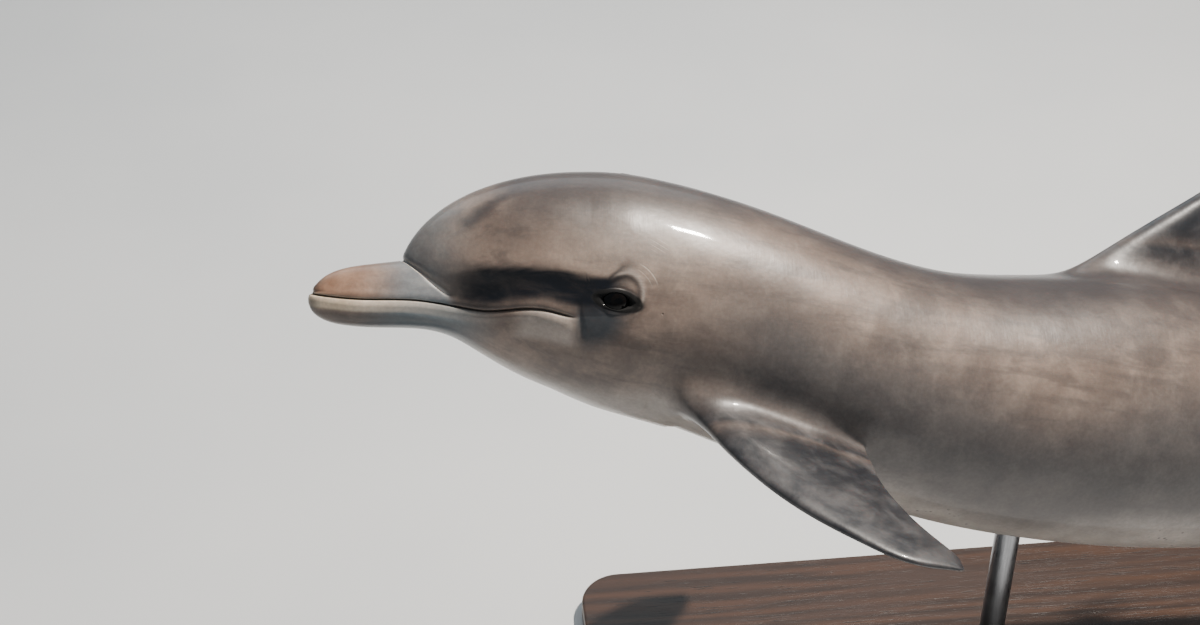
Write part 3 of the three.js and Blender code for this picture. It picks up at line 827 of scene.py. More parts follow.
class Finish:
    """A material and short ways to put nodes in it."""

    def __init__(self, name):
        self.material = bpy.data.materials.new(name)
        self.material.use_nodes = True
        self.tree = self.material.node_tree
        self.tree.nodes.clear()

    def node(self, kind, inputs=None, **settings):
        """A shader node with its settings; an input is a value or another node's output."""
        made = self.tree.nodes.new("ShaderNode" + kind)
        for name, value in settings.items():
            setattr(made, name, value)
        for name, value in (inputs or {}).items():
            self.feed(made.inputs[name], value)
        return made

    def feed(self, socket, value):
        """Links or sets one input."""
        if isinstance(value, bpy.types.NodeSocket):
            self.tree.links.new(value, socket)
        elif isinstance(value, tuple) and len(value) == 3 and socket.type == "RGBA":
            socket.default_value = (*value, 1)
        else:
            socket.default_value = value

    def place(self, scale=(1, 1, 1), turn=(0, 0, 0), shift=(0, 0, 0)):
        """Object coordinates, turned and stretched."""
        where = self.node("TexCoord").outputs["Object"]
        settings = {"Vector": where, "Location": shift, "Rotation": turn, "Scale": scale}
        return self.node("Mapping", settings).outputs[0]

    def mark(self, name):
        """One of the piece's own attributes, as a number."""
        return self.node("Attribute", attribute_name=name).outputs["Fac"]

    def mark_place(self, name):
        """One of the piece's own attributes, as a place."""
        return self.node("Attribute", attribute_name=name).outputs["Vector"]

    def noise(self, where, scale, detail=4.0, roughness=.5, twist=0.0):
        """A cloudy pattern, from 0 to 1."""
        inputs = {"Vector": where, "Scale": scale, "Detail": detail, "Roughness": roughness}
        inputs["Distortion"] = twist
        return self.node("TexNoise", inputs).outputs["Fac"]

    def steps(self, value, low, high, low_to=0.0, high_to=1.0):
        """Low and high of a value, stretched smoothly to another span and held there."""
        inputs = {"Value": value, 1: low, 2: high, 3: low_to, 4: high_to}
        return self.node("MapRange", inputs, interpolation_type="SMOOTHSTEP").outputs[0]

    def math(self, kind, a, b, c=0.0):
        """A sum of one or more numbers, named as the node names it."""
        return self.node("Math", {0: a, 1: b, 2: c}, operation=kind).outputs[0]

    def product(self, *values):
        """All the values multiplied together."""
        result = values[0]
        for value in values[1:]:
            result = self.math("MULTIPLY", result, value)
        return result

    def hump(self, value, centre, width):
        """1 where the value is at the centre, smoothly down to 0 a width away on both sides."""
        away = self.math("ABSOLUTE", self.math("SUBTRACT", value, centre), 0.0)
        return self.steps(away, 0.0, width, 1.0, 0.0)

    def distance(self, where, middle):
        """How far each place is from a fixed one."""
        return self.node("VectorMath", {0: where, 1: middle}, operation="DISTANCE").outputs["Value"]

    def blend(self, share, a, b, kind="MIX"):
        """From colour a to colour b by a share."""
        made = self.node("Mix", data_type="RGBA", blend_type=kind)
        for socket, value in zip([made.inputs[0], made.inputs[6], made.inputs[7]], [share, a, b]):
            self.feed(socket, value)
        return made.outputs[2]

    def tones(self, pattern, low, high, first, second):
        """Two colours, written as on a screen, mixed where the pattern goes from low to high."""
        return self.blend(self.steps(pattern, low, high), colour(*first), colour(*second))

    def paint(self, base, tone, *shares):
        """The base with a tone over it, as strong as all the shares multiplied together."""
        tone = colour(*tone) if isinstance(tone, tuple) else tone
        return self.blend(self.product(*shares), base, tone)

    def bump(self, height, distance, strength=1.0, below=None):
        """A height on the surface, over the one below it."""
        inputs = {"Height": height, "Distance": distance, "Strength": strength}
        if below is not None:
            inputs["Normal"] = below
        return self.node("Bump", inputs).outputs[0]

    def surface(self, **inputs):
        """The surface itself; an input's name is its socket's, with _ for a space."""
        named = {name.replace("_", " "): value for name, value in inputs.items()}
        shader = self.node("BsdfPrincipled", named)
        out = self.node("OutputMaterial")
        self.tree.links.new(shader.outputs[0], out.inputs[0])
        return self.material


def colour(red, green, blue):
    """A colour written as on a screen, 0 to 255, for use in light."""
    return tuple((part / 255) ** 2.2 for part in (red, green, blue))


def skin_patterns(f):
    """The clouds and streaks that break up the skin, which lie on the straight animal."""
    lie = f.mark_place("lie")
    drawn_out = f.node("Mapping", {"Vector": lie, "Scale": (3.0, 16, 16)}).outputs[0]
    return SimpleNamespace(
        lie=lie,
        broad=f.noise(lie, 5.5, 3, .5, .6),
        mottle=f.noise(lie, 24, 5, .6, .3),
        grain=f.noise(lie, 210, 4, .6),
        streaks=f.noise(drawn_out, 3.2, 5, .6, .4),
    )


def body_tones(f, p):
    """Brownish grey with a dark cape, grey flanks darkened as painted shade, and a pale flecked belly."""
    base = f.tones(p.broad, .35, .68, (102, 89, 82), (132, 114, 103))
    base = f.paint(base, (160, 140, 126), f.steps(p.mottle, .40, .72), .45)
    base = f.paint(base, (78, 69, 66), f.steps(p.streaks, .45, .66), .50)
    base = f.paint(base, (56, 52, 53), f.mark("cape"), .92)
    # Lower flank: the skin's own grey, with painted shade darkening the side that faces down.
    base = f.paint(base, f.tones(p.mottle, .25, .80, (86, 81, 80), (103, 97, 94)), f.mark("flank_and_shade"))
    base = f.paint(base, f.tones(p.mottle, .25, .75, (158, 149, 142), (178, 168, 160)), f.mark("belly"))
    flecks = f.node("TexVoronoi", {"Vector": p.lie, "Scale": 95.0, "Randomness": 1.0}).outputs["Distance"]
    flecks = f.product(f.steps(flecks, .26, .12), f.steps(p.mottle, .52, .62))
    return f.paint(base, (92, 88, 88), flecks, f.mark("flecks"))


def head_and_fin_tones(f, base, p):
    """Slate, tan and cream beak; pale places, some of them painted highlight; painted shade under the
    mouth's corner; the dark stripe to the eye, partly painted shade; dark fins; openings near black,
    partly painted shade.
    """
    base = f.paint(base, f.tones(p.streaks, .35, .65, (98, 109, 116), (126, 133, 136)), f.mark("snout"))
    base = f.paint(base, f.tones(p.mottle, .25, .80, (134, 100, 80), (160, 126, 104)), f.mark("tan"))
    base = f.paint(base, f.tones(p.mottle, .30, .75, (214, 188, 158), (230, 208, 182)), f.mark("cream"))
    # Pale skin, with painted highlight on the brow's fold and round the key light's highlight.
    base = f.paint(base, (222, 212, 202), f.mark("pale"))
    # Painted shade under the corner of the mouth and below the eye.
    base = f.paint(base, (44, 54, 62), f.mark("shade"))
    # Dark stripe from beak to eye, partly the skin's own and partly painted shade; also painted shade
    # under the chin and at the beak's tip.
    base = f.paint(base, (7, 13, 23), f.mark("band_and_shade"), f.steps(p.streaks, .25, .6, .86, 1.0))
    base = f.paint(base, f.tones(p.mottle, .32, .72, (40, 41, 45), (78, 76, 77)), f.mark("fin"))
    # Openings and lids near black: dark skin, with painted shade in the mouth's groove, the blowhole and
    # round the eye.
    return f.paint(base, (9, 9, 11), f.mark("dark"))


def eye_wrinkles(f, flat):
    """Two fine lines behind the eye, round its middle."""
    from_eye = f.distance(flat, (EYE_X, EYE_HEIGHT, 0))
    inner, outer = f.hump(from_eye, .0400, .0012), f.hump(from_eye, .0468, .0014)
    return f.product(f.math("ADD", f.product(inner, .45), outer), f.mark("wrinkles"))


def scratches(f, flat):
    """A few parallel scratches over the eye."""
    slanted = f.node("Mapping", {"Vector": flat, "Rotation": (0, 0, .46)}).outputs[0]
    across = f.node("SeparateXYZ", {0: slanted}).outputs[1]
    return f.product(f.hump(f.math("PINGPONG", across, .0024), 0.0, .0007), f.mark("rake"))


def skin_pits(f, flat, lie):
    """The ear's pinhole, and the navel and the slit under the tail: where the skin dips, darkened there as
    painted shade.
    """
    ear = f.steps(f.distance(flat, (.3925, .006, 0)), .0006, .0016, .7, 0.0)
    x, side, z = f.node("SeparateXYZ", {0: lie}).outputs
    slit = f.product(f.hump(x, 1.452, .062), f.hump(side, 0.0, .0040))
    navel = f.product(f.hump(x, 1.110, .014), f.hump(side, 0.0, .0060))
    under = f.product(f.math("MAXIMUM", slit, navel), f.steps(z, -.02, -.04))
    return f.math("MAXIMUM", ear, under)


def skin_normal(f, p, dents):
    """Soft waves, dents, fine ridges across the body and grain."""
    ridge_place = f.node("Mapping", {"Vector": p.lie, "Scale": (420, 40, 40)}).outputs[0]
    normal = f.bump(f.noise(p.lie, 30, 3, .5), .0016, .5)
    normal = f.bump(dents, -.0009, .7, normal)
    normal = f.bump(f.noise(ridge_place, 1.0, 2, .5, .5), .00012, .5, normal)
    return f.bump(p.grain, .00010, .6, normal)


def skin_finish():
    """Wet skin: tones by marks, fine lines by charts, and a film of water except in the dark openings."""
    f = Finish("wet_skin")
    p = skin_patterns(f)
    base = head_and_fin_tones(f, body_tones(f, p), p)
    x, up, step = f.node("SeparateXYZ", {0: f.mark_place("chart")}).outputs
    # A pale line along the crease: partly pale skin, partly a painted highlight on its edge.
    base = f.paint(base, (224, 214, 204), f.hump(step, -.0012, .0046), f.mark("crease"))
    flat = f.node("CombineXYZ", {0: x, 1: up}).outputs[0]
    wrinkles, pits = eye_wrinkles(f, flat), skin_pits(f, flat, p.lie)
    base = f.paint(base, (200, 186, 174), scratches(f, flat), .50)
    base = f.paint(base, (206, 192, 178), wrinkles, .40)
    # Painted shade in the ear's pinhole, the navel and the slit.
    base = f.paint(base, (58, 50, 50), pits, .80)
    freckle = f.product(f.steps(p.grain, .30, .75, .90, 1.08), f.steps(p.mottle, .2, .8, .95, 1.05))
    freckles = f.node("CombineColor", {0: freckle, 1: freckle, 2: freckle}).outputs[0]
    base = f.blend(1.0, base, freckles, "MULTIPLY")
    dents = f.math("MAXIMUM", f.product(wrinkles, .35), pits)
    dry = f.mark("dark")
    rough = f.math("ADD", f.steps(p.mottle, .3, .8, .36, .46), f.product(dry, .56))
    return f.surface(
        Base_Color=base, Roughness=rough, Normal=skin_normal(f, p, dents), IOR=1.46,
        Coat_Weight=f.steps(dry, 0.0, 1.0, .36, .04), Coat_Roughness=.06, Coat_IOR=1.33,
        Subsurface_Weight=.06, Subsurface_Scale=.01,
    )


def eye_finish():
    """A wet, nearly black eye with faint veins in its iris."""
    f = Finish("wet_eye")
    veins = f.noise(f.mark_place("lie"), 900, 4, .6, .4)
    iris = f.tones(veins, .35, .7, (9, 8, 9), (24, 18, 15))
    base = f.blend(f.mark("iris"), colour(7, 7, 9), iris)
    base = f.paint(base, (5, 5, 7), f.mark("pupil"))
    return f.surface(
        Base_Color=base, Roughness=f.steps(veins, .2, .8, .07, .12), IOR=1.12, Coat_Weight=.65,
        Coat_Roughness=.02, Coat_IOR=1.34,
    )


def wood_finish():
    """Oiled walnut with its grain along the plank."""
    f = Finish("oiled_walnut")
    along = f.place(scale=(1.1, 14, 14))
    warp = f.noise(along, 1.6, 4, .55, .8)
    rings = f.node(
        "TexWave", {"Vector": along, "Scale": .9, "Distortion": 9.0, "Detail": 5.0, "Detail Scale": 1.6},
        wave_type="BANDS", bands_direction="Y",
    ).outputs["Fac"]
    pores = f.noise(f.place(scale=(22, 520, 520)), 1.0, 3, .6)
    base = f.blend(rings, colour(44, 29, 20), colour(70, 47, 33))
    base = f.paint(base, (54, 35, 25), f.steps(warp, .35, .7))
    base = f.paint(base, (26, 17, 12), f.steps(pores, .58, .70))
    normal = f.bump(f.steps(pores, .50, .72, 1.0, 0.0), .00025, .5)
    rough = f.steps(warp, .25, .75, .34, .46)
    return f.surface(Base_Color=base, Roughness=rough, Normal=normal, Coat_Weight=.15, Coat_Roughness=.3)


def steel_finish(name, tone, stretch):
    """Steel with brush marks drawn out one way, and faint smears."""
    f = Finish(name)
    brushed = f.noise(f.place(scale=stretch), 1.0, 3, .6)
    smears = f.noise(f.place(), 16, 4, .55, .5)
    base = f.tones(smears, .3, .7, tone, [min(part + 16, 255) for part in tone])
    base = f.paint(base, tuple(part * .78 for part in tone), f.steps(brushed, .35, .7), .35)
    rough = f.math("ADD", f.steps(brushed, .3, .7, .24, .34), f.steps(smears, .3, .7, 0, .06))
    return f.surface(Base_Color=base, Metallic=1.0, Roughness=rough, Normal=f.bump(brushed, .00008, .6))


def floor_finish():
    """A matt pale floor with faint clouds."""
    f = Finish("pale_floor")
    cloudy = f.noise(f.place(), 1.4, 3, .5)
    return f.surface(Base_Color=f.tones(cloudy, .3, .7, (214, 216, 218), (222, 223, 224)), Roughness=.6)


# ---------------------------------------------------------------- markings

BAND_TOP = (
    [.118, .15, .193, .220, .250, .279, .325, .345],
    [.012, .036, .051, .050, .047, .0495, .047, .066],
)


def measures(points, tags):
    """Where the points lie on the straight animal, in the terms that the markings are drawn in."""
    x, side, z = points.T
    up = z - mouth_line(x)
    r = np.maximum(np.hypot(side, up), 1e-9)
    level = np.arctan2(up, np.abs(side))
    along, over = eye_plane(x, up)
    return SimpleNamespace(
        x=x, up=up, level=level, gap=mouth_gap(x, r, level),
        step=crease_step(x, np.abs(side) / r, up / r),
        along=along, over=over, turn=np.degrees(np.arctan2(over, along)),
        body=np.isin(tags, (BODY, LID)).astype(float),
    )


def trunk_marks(p, on_body):
    """The dark cape with its streak on the forehead, the grey flank darkened as painted shade, and the
    flecked belly.
    """
    x, body = p.x, p.body
    lean = p.level + .10 * np.sin(x * 9) + .05 * np.sin(x * 23)
    cape = body * smooth(.45, 1.15, lean) * mix(smooth(.50, .95, x), 1, .92) * smooth(.13, .24, x)
    fore = from_segment(x, p.up, (.165, .098), (.195, .128))
    rear = from_segment(x, p.up, (.195, .128), (.232, .153))
    streak = ridge(np.minimum(fore, rear), at=0, width=.0095) * (1 - smooth(1.35, 1.5, p.level))
    belly = body * smooth(-.62, -1.05, lean) * smooth(.10, .34, x)
    return {
        "cape": on_body * np.maximum(cape, body * .95 * streak),
        # The lower flank, darker as painted shade.
        "flank_and_shade": on_body * body * (1 - smooth(-.15, .55, lean)) * smooth(.34, .56, x),
        "belly": on_body * belly,
        "flecks": on_body * belly * smooth(.35, .60, x) * (1 - smooth(1.7, 2.1, x)),
    }


def beak_marks(p):
    """Slate, tan and cream of the beak, painted shade under its chin and on its tip, and where the
    crease's pale line, partly painted highlight, shows.
    """
    x, gap, body = p.x, p.gap, p.body
    beak = (1 - smooth(-.004, .004, p.step)) * (1 - smooth(.150, .172, x)) * body
    low_jaw = (1 - smooth(-.002, .003, gap)) * (1 - smooth(.150, .225, x)) * body
    both = np.maximum(beak, low_jaw)
    top = smooth(.001, .004, gap)
    forehead = .45 * (1 - smooth(.125, .190, x)) * top * (1 - beak) * body
    lip = between(gap, -.0125, -.0012, .0045)
    # Painted shade on the jaw's underside.
    chin_shade = low_jaw * (1 - smooth(-.023, -.015, gap)) * (1 - top)
    # Painted shade along the outline of the beak's tip.
    tip = .80 * (1 - smooth(.001, .016, x)) * smooth(.002, .010, np.abs(gap))
    return {
        "snout": np.maximum(both * smooth(.045, .115, x), forehead),
        "tan": beak * top * np.maximum(1 - smooth(-.010, .140, x), .15),
        "cream": (1 - top) * both * lip * (1 - .85 * smooth(.030, .160, x)),
        "band_and_shade": np.maximum(.60 * chin_shade, tip),
        # Where the crease's pale line, partly painted highlight, shows.
        "crease": smooth(.02, .06, p.level) * (1 - smooth(.146, .158, x)) * body,
        "pale": .34 * low_jaw * lip * smooth(.020, .080, x) * (1 - smooth(.120, .190, x)) * body,
    }


def eye_band(p):
    """The dark stripe from the beak's root to the eye, the skin's own with painted shade in the hollow
    under the melon, and the dark ring round the eye, dark skin with painted shade under the lids.
    """
    above = smooth(.0050, -.0035, p.up - np.interp(p.x, *BAND_TOP))
    lip = smooth(.0035, .0200, p.up) + smooth(.24, .16, p.x) * .6
    # Stripe: the skin's own dark, deepened as painted shade in the hollow under the melon's ridge.
    band_and_shade = above * smooth(.128, .190, p.x) * (1 - smooth(.325, .365, p.x)) * smooth(.0010, .0035, p.gap)
    band_and_shade *= np.clip(.45 + .55 * lip, 0, 1)
    # Dark ring round the eye: dark skin with painted shade under the lids.
    socket = smooth(.0215, .0130, np.hypot(p.along * .54, p.over * (1 + .10 * (p.over > 0))))
    return p.body * np.maximum(band_and_shade, .80 * socket)


def pale_skin_and_sheen(p):
    """Lighter skin at the corner of the mouth and behind it, and a painted highlight over the eye round
    the key light's highlight.
    """
    cheek = smooth(.222, .250, p.x) * (1 - smooth(.290, .312, p.x)) * between(p.gap, -.030, -.004, .010)
    patch = ridge(from_segment(p.x, p.up, (.305, -.002), (.338, -.006)), at=0, width=.0125)
    # Painted highlight: a broad sheen round the key light's highlight.
    glow = ridge(np.hypot((p.x - .375) / .085, (p.up - .090) / .036), at=0, width=1)
    return p.body * np.maximum.reduce([.26 * cheek, .06 * patch, .20 * glow])


def dark_openings(p, tags):
    """The mouth's line, the sockets, the blowhole and the lids' edges: dark skin, with painted shade in
    the groove, the recesses and under the lids.
    """
    # The mouth's line: dark skin and painted shade in the groove.
    line = ridge(p.gap, at=0, width=.0011 + .0004 * smooth(.2, .3, p.x))
    line *= (1 - smooth(.286, .303, p.x)) * p.body
    # The lids: dark skin, with painted shade under them.
    lids = smooth(.0138, .0118, np.hypot(p.along * .42, p.over)) * p.body
    # Painted shade inside the eye's pocket and the blowhole.
    inside = np.isin(tags, (SOCKET, NOSTRIL)).astype(float)
    return np.maximum.reduce([.96 * line, inside, .96 * lids])


def marks_of(points, tags, finned):
    """Shares of each colour at every point of the skin, and the chart that fine lines are drawn on."""
    p = measures(points, tags)
    marks = {**trunk_marks(p, 1 - finned), **beak_marks(p)}
    # Painted highlight along the crest of the brow's fold, which also lightens the dark stripe there.
    brow = ridge(np.hypot(BROW_FLATNESS * p.along, p.over), at=BROW_FAR, width=.0026)
    brow = brow * smooth(-30, 5, p.turn) * (1 - smooth(105, 140, p.turn))
    marks["band_and_shade"] = np.maximum(marks["band_and_shade"], eye_band(p)) * (1 - .8 * brow)
    marks["pale"] = np.maximum.reduce([marks["pale"], pale_skin_and_sheen(p), .30 * brow * p.body])
    # Painted shade under the corner of the mouth and below the eye.
    slant = smooth(.291, .311, p.x + .35 * (p.up + .02))
    below_eye = smooth(1.15, .35, np.hypot((p.x - .318) / .040, (p.up + .006) / .038))
    marks["shade"] = .86 * slant * below_eye * p.body
    marks["fin"] = finned
    marks["dark"] = dark_openings(p, tags)
    marks["rake"] = smooth(1.3, .5, np.hypot((p.x - .380) / .0115, (p.up - .084) / .0085)) * p.body
    marks["wrinkles"] = smooth(38, 52, p.turn) * (1 - smooth(72, 84, p.turn)) * p.body
    return marks, np.stack([p.x, p.up, np.clip(p.step, -.02, .02)], -1)


# ---------------------------------------------------------------- pieces


def piece(name, vertices, faces, finish, slot, *nodes):
    """A mesh object with its finish, which replaces the nodes."""
    mesh = bpy.data.meshes.new(name)
    mesh.from_pydata([tuple(v) for v in vertices], [], [tuple(int(i) for i in f) for f in faces])
    mesh.validate()
    obj = bpy.data.objects.new(name, mesh)
    bpy.context.scene.collection.objects.link(obj)
    settle(obj, finish, slot, *nodes)
    return obj


def settle(obj, finish, slot, *nodes):
    """Outward faces, smooth shading, its finish and its place under the root body."""
    shell = bmesh.new()
    shell.from_mesh(obj.data)
    bmesh.ops.recalc_face_normals(shell, faces=shell.faces)
    shell.to_mesh(obj.data)
    shell.free()
    obj.data.materials.clear()
    obj.data.materials.append(finish)
    obj.data.polygons.foreach_set("use_smooth", np.ones(len(obj.data.polygons), bool))
    obj.data.update()
    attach(obj, "root")
    if nodes:
        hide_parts(*nodes)


def add_mark(obj, name, values):
    """Gives the piece an attribute of its own: a number or a place at each point."""
    values = np.asarray(values, np.float32)
    if values.ndim == 1:
        obj.data.attributes.new(name, "FLOAT", "POINT").data.foreach_set("value", values)
    else:
        obj.data.attributes.new(name, "FLOAT_VECTOR", "POINT").data.foreach_set("vector", values.ravel())


def ring_strips(count, around, first=0, closed=False):
    """Faces between rings of points that follow each other; closed joins the last to the first."""
    faces = []
    for ring in range(count if closed else count - 1):
        a, b = first + ring * around, first + (ring + 1) % count * around
        faces += [(a + k, a + (k + 1) % around, b + (k + 1) % around, b + k) for k in range(around)]
    return faces


def pole_faces(pole, first, around):
    """Faces from a ring of points to the pole."""
    return [(pole, first + k, first + (k + 1) % around) for k in range(around)]


def circle(place, radius, z, around):
    """Points round an upright axis."""
    turns = [k / around * 2 * math.pi for k in range(around)]
    return [(place[0] + radius * math.cos(turn), place[1] + radius * math.sin(turn), z) for turn in turns]


FLESH = (
    "upper_beak", "lower_jaw", "melon", "head", "chest", "trunk", "tail_stock", "dorsal_fin",
    "flipper_left", "flipper_right", "fluke_left", "fluke_right",
)

EASE_TIMES = 14


def make_skin():
    """The one skin of the whole animal, with its marks."""
    body = build_skin()
    points, tags = body.ease(EASE_TIMES), np.concatenate(body.tags)
    obj = piece("dolphin_skin", posed(points), body.faces, skin_finish(), "skin", *FLESH)
    marks, chart = marks_of(points, tags, np.concatenate(body.finned))
    for name, values in marks.items():
        add_mark(obj, name, np.clip(values, 0, 1))
    add_mark(obj, "lie", points)
    add_mark(obj, "chart", chart)


EYE_AROUND = 72
CLEAR_BULGE, CLEAR_WIDTH = 0.0005, 0.42


def make_eye(name, side, finish):
    """An eyeball with a slightly raised clear front, in its pocket behind the lids."""
    centre = eye_centre(side)
    polar = np.concatenate([np.linspace(0, 1.15, 47)[1:], np.linspace(1.15, math.pi, 22)[1:-1]])
    points = [(0, side * (EYE_RADIUS + .0004), 0)]
    for angle in polar:
        r = EYE_RADIUS - .0001 + CLEAR_BULGE * math.exp(-((angle / CLEAR_WIDTH) ** 2))
        ring = circle((0, 0), r * math.sin(angle), 0, EYE_AROUND)
        points += [(x, side * r * math.cos(angle), z) for x, z, _ in ring]
    points.append((0, -side * (EYE_RADIUS - .0001), 0))
    last = len(points) - 1
    faces = ring_strips(len(polar), EYE_AROUND, first=1) + pole_faces(0, 1, EYE_AROUND)
    faces += pole_faces(last, last - EYE_AROUND, EYE_AROUND)
    away = np.array(points, float)
    obj = piece(name, posed(centre + away), faces, finish, "eye", name.replace("dolphin_", ""))
    add_mark(obj, "iris", smooth(.0094, .0084, np.hypot(away[:, 0], away[:, 2])))
    add_mark(obj, "pupil", smooth(.0050, .0042, np.hypot(away[:, 0], away[:, 2] * 1.35)))
    add_mark(obj, "lie", centre + away)


# ---------------------------------------------------------------- stand

BASE_LONG, BASE_WIDE, BASE_THICK, BASE_CORNER = 1.240, .580, .036, .060
LOWER_EDGE, UPPER_EDGE = .0022, .0050
ROD_PLACES = ((-.060, 0), (.460, .030))
ROD_RADIUS, ROD_EDGE = .017, .001
FLANGE_BASE, FLANGE_THICK = BASE_THICK + .0003, .0090
BOLT_CIRCLE = .046
WASHER_THICK = .0010


def rounded(corner, radius, turn_from, turn_to, count=6):
    """Points of an arc round a corner's middle, by degrees."""
    angles = np.radians(np.linspace(turn_from, turn_to, count))
    return [(corner[0] + radius * math.cos(a), corner[1] + radius * math.sin(a)) for a in angles]


def make_base():
    """A plank with round corners, an eased lower edge and a fuller rounded upper edge."""
    turn = np.linspace(0, math.pi / 2, 19)
    corners = [(1, 1), (-1, 1), (-1, -1), (1, -1)]
    profile = [
        (LOWER_EDGE * (1 - math.sin(a)), LOWER_EDGE * (1 - math.cos(a)))
        for a in np.linspace(0, math.pi / 2, 9)
    ]
    profile += [
        (UPPER_EDGE * (1 - math.cos(a)), BASE_THICK - UPPER_EDGE * (1 - math.sin(a)))
        for a in np.linspace(0, math.pi / 2, 9)
    ]
    points = []
    for inset, z in profile:
        for k, (sign_x, sign_y) in enumerate(corners):
            angle = turn + k * math.pi / 2
            x = sign_x * (BASE_LONG / 2 - BASE_CORNER) + (BASE_CORNER - inset) * np.cos(angle)
            y = sign_y * (BASE_WIDE / 2 - BASE_CORNER) + (BASE_CORNER - inset) * np.sin(angle)
            points += [(a, b, z) for a, b in zip(x, y)]
    n = 4 * len(turn)
    faces = ring_strips(len(profile), n)
    faces += [tuple(range(n))[::-1], tuple(range(len(points) - n, len(points)))]
    obj = piece("stand_plank", points, faces, wood_finish(), "base_wood", "stand_base")
    sloping = [abs(f.normal.z) <= .999 for f in obj.data.polygons]
    obj.data.polygons.foreach_set("use_smooth", sloping)


def make_rod(name, place, finish):
    """A round rod with eased ends, as long as its node."""
    low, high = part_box(name)[0][2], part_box(name)[1][2]
    side, around = ROD_RADIUS - ROD_EDGE, 72
    profile = rounded((side, low + ROD_EDGE), ROD_EDGE, -90, 0, 4)
    profile += rounded((side, high - ROD_EDGE), ROD_EDGE, 0, 90, 4)
    points = [(*place, low)]
    for radius, z in profile:
        points += circle(place, radius, z, around)
    points.append((*place, high))
    last = len(points) - 1
    faces = ring_strips(len(profile), around, first=1) + pole_faces(0, 1, around)
    faces += pole_faces(last, last - around, around)
    piece(name.replace("stand_", "post_"), points, faces, finish, "rod_steel", name)


def make_flange(name, place, finish):
    """A turned collar: a flat foot, a hollow curve up to the neck, and a bore for the rod."""
    z, around = FLANGE_BASE, 96
    bore = ROD_RADIUS + .0003
    profile = [(bore, z), (.0612, z)]
    profile += rounded((.0600, z + .0020), .0020, -60, 0, 4) + rounded((.0595, z + .0065), .0025, 0, 90, 7)
    profile += [(.0400, z + FLANGE_THICK), (.0365, z + .0092)]
    profile += rounded((.0365, z + .0152), .0060, -90, -165, 7)
    profile += [(.0300, z + .0170), (.0290, z + .0215)]
    profile += rounded((.0260, z + .0235), .0025, 0, 90, 7) + [(bore, z + .0260)]
    points = []
    for radius, height in profile:
        points += circle(place, radius, height, around)
    faces = ring_strips(len(profile), around, closed=True)
    piece(name.replace("stand_", "collar_"), points, faces, finish, "flange_steel", name)


class Geometry:
    """A geometry node tree and short ways to build it."""

    def __init__(self, name, **numbers):
        self.tree = bpy.data.node_groups.new(name, "GeometryNodeTree")
        self.tree.interface.new_socket("Geometry", in_out="OUTPUT", socket_type="NodeSocketGeometry")
        self.sockets = {}
        for label, value in numbers.items():
            kind = "NodeSocketVector" if isinstance(value, tuple) else "NodeSocketFloat"
            self.sockets[label] = self.tree.interface.new_socket(
                label.replace("_", " ").capitalize(), in_out="INPUT", socket_type=kind
            )
        self.inputs = self.tree.nodes.new("NodeGroupInput")
        self.values = numbers

    def node(self, kind, inputs=None, **settings):
        """A node with its settings; an input is a value or another node's output."""
        made = self.tree.nodes.new(kind)
        for name, value in settings.items():
            setattr(made, name, value)
        for name, value in (inputs or {}).items():
            if isinstance(value, bpy.types.NodeSocket):
                self.tree.links.new(value, made.inputs[name])
            else:
                made.inputs[name].default_value = value
        return made

    def given(self, label):
        """One of the tree's own inputs."""
        return self.inputs.outputs[label.replace("_", " ").capitalize()]

    def cylinder(self, sides, radius, depth):
        """An upright cylinder about its middle."""
        inputs = {"Vertices": sides, "Radius": self.given(radius), "Depth": self.given(depth)}
        return self.node("GeometryNodeMeshCylinder", inputs).outputs[0]

    def moved(self, shape, by):
        """The shape, moved."""
        return self.node("GeometryNodeTransform", {"Geometry": shape, "Translation": by}).outputs[0]

    def vector(self, kind, a, b):
        """A sum of two vectors, named as the node names it."""
        return self.node("ShaderNodeVectorMath", {0: a, 1: b}, operation=kind).outputs[0]

    def at_points(self, points, shape, **more):
        """The shape at every point, made real."""
        inputs = {"Points": points, "Instance": shape, **more}
        placed = self.node("GeometryNodeInstanceOnPoints", inputs).outputs[0]
        return self.node("GeometryNodeRealizeInstances", {0: placed}).outputs[0]

    def plain_mesh(self, name, shape):
        """Runs the tree and gives its result as a plain mesh object."""
        out = self.tree.nodes.new("NodeGroupOutput")
        self.tree.links.new(shape, out.inputs[0])
        empty = bpy.data.objects.new(name + "_maker", bpy.data.meshes.new(name + "_maker"))
        bpy.context.scene.collection.objects.link(empty)
        modifier = empty.modifiers.new("make", "NODES")
        modifier.node_group = self.tree
        for label, value in self.values.items():
            modifier[self.sockets[label].identifier] = value
        graph = bpy.context.evaluated_depsgraph_get()
        made = bpy.data.meshes.new_from_object(empty.evaluated_get(graph))
        made.name = name
        obj = bpy.data.objects.new(name, made)
        bpy.context.scene.collection.objects.link(obj)
        bpy.data.objects.remove(empty)
        return obj


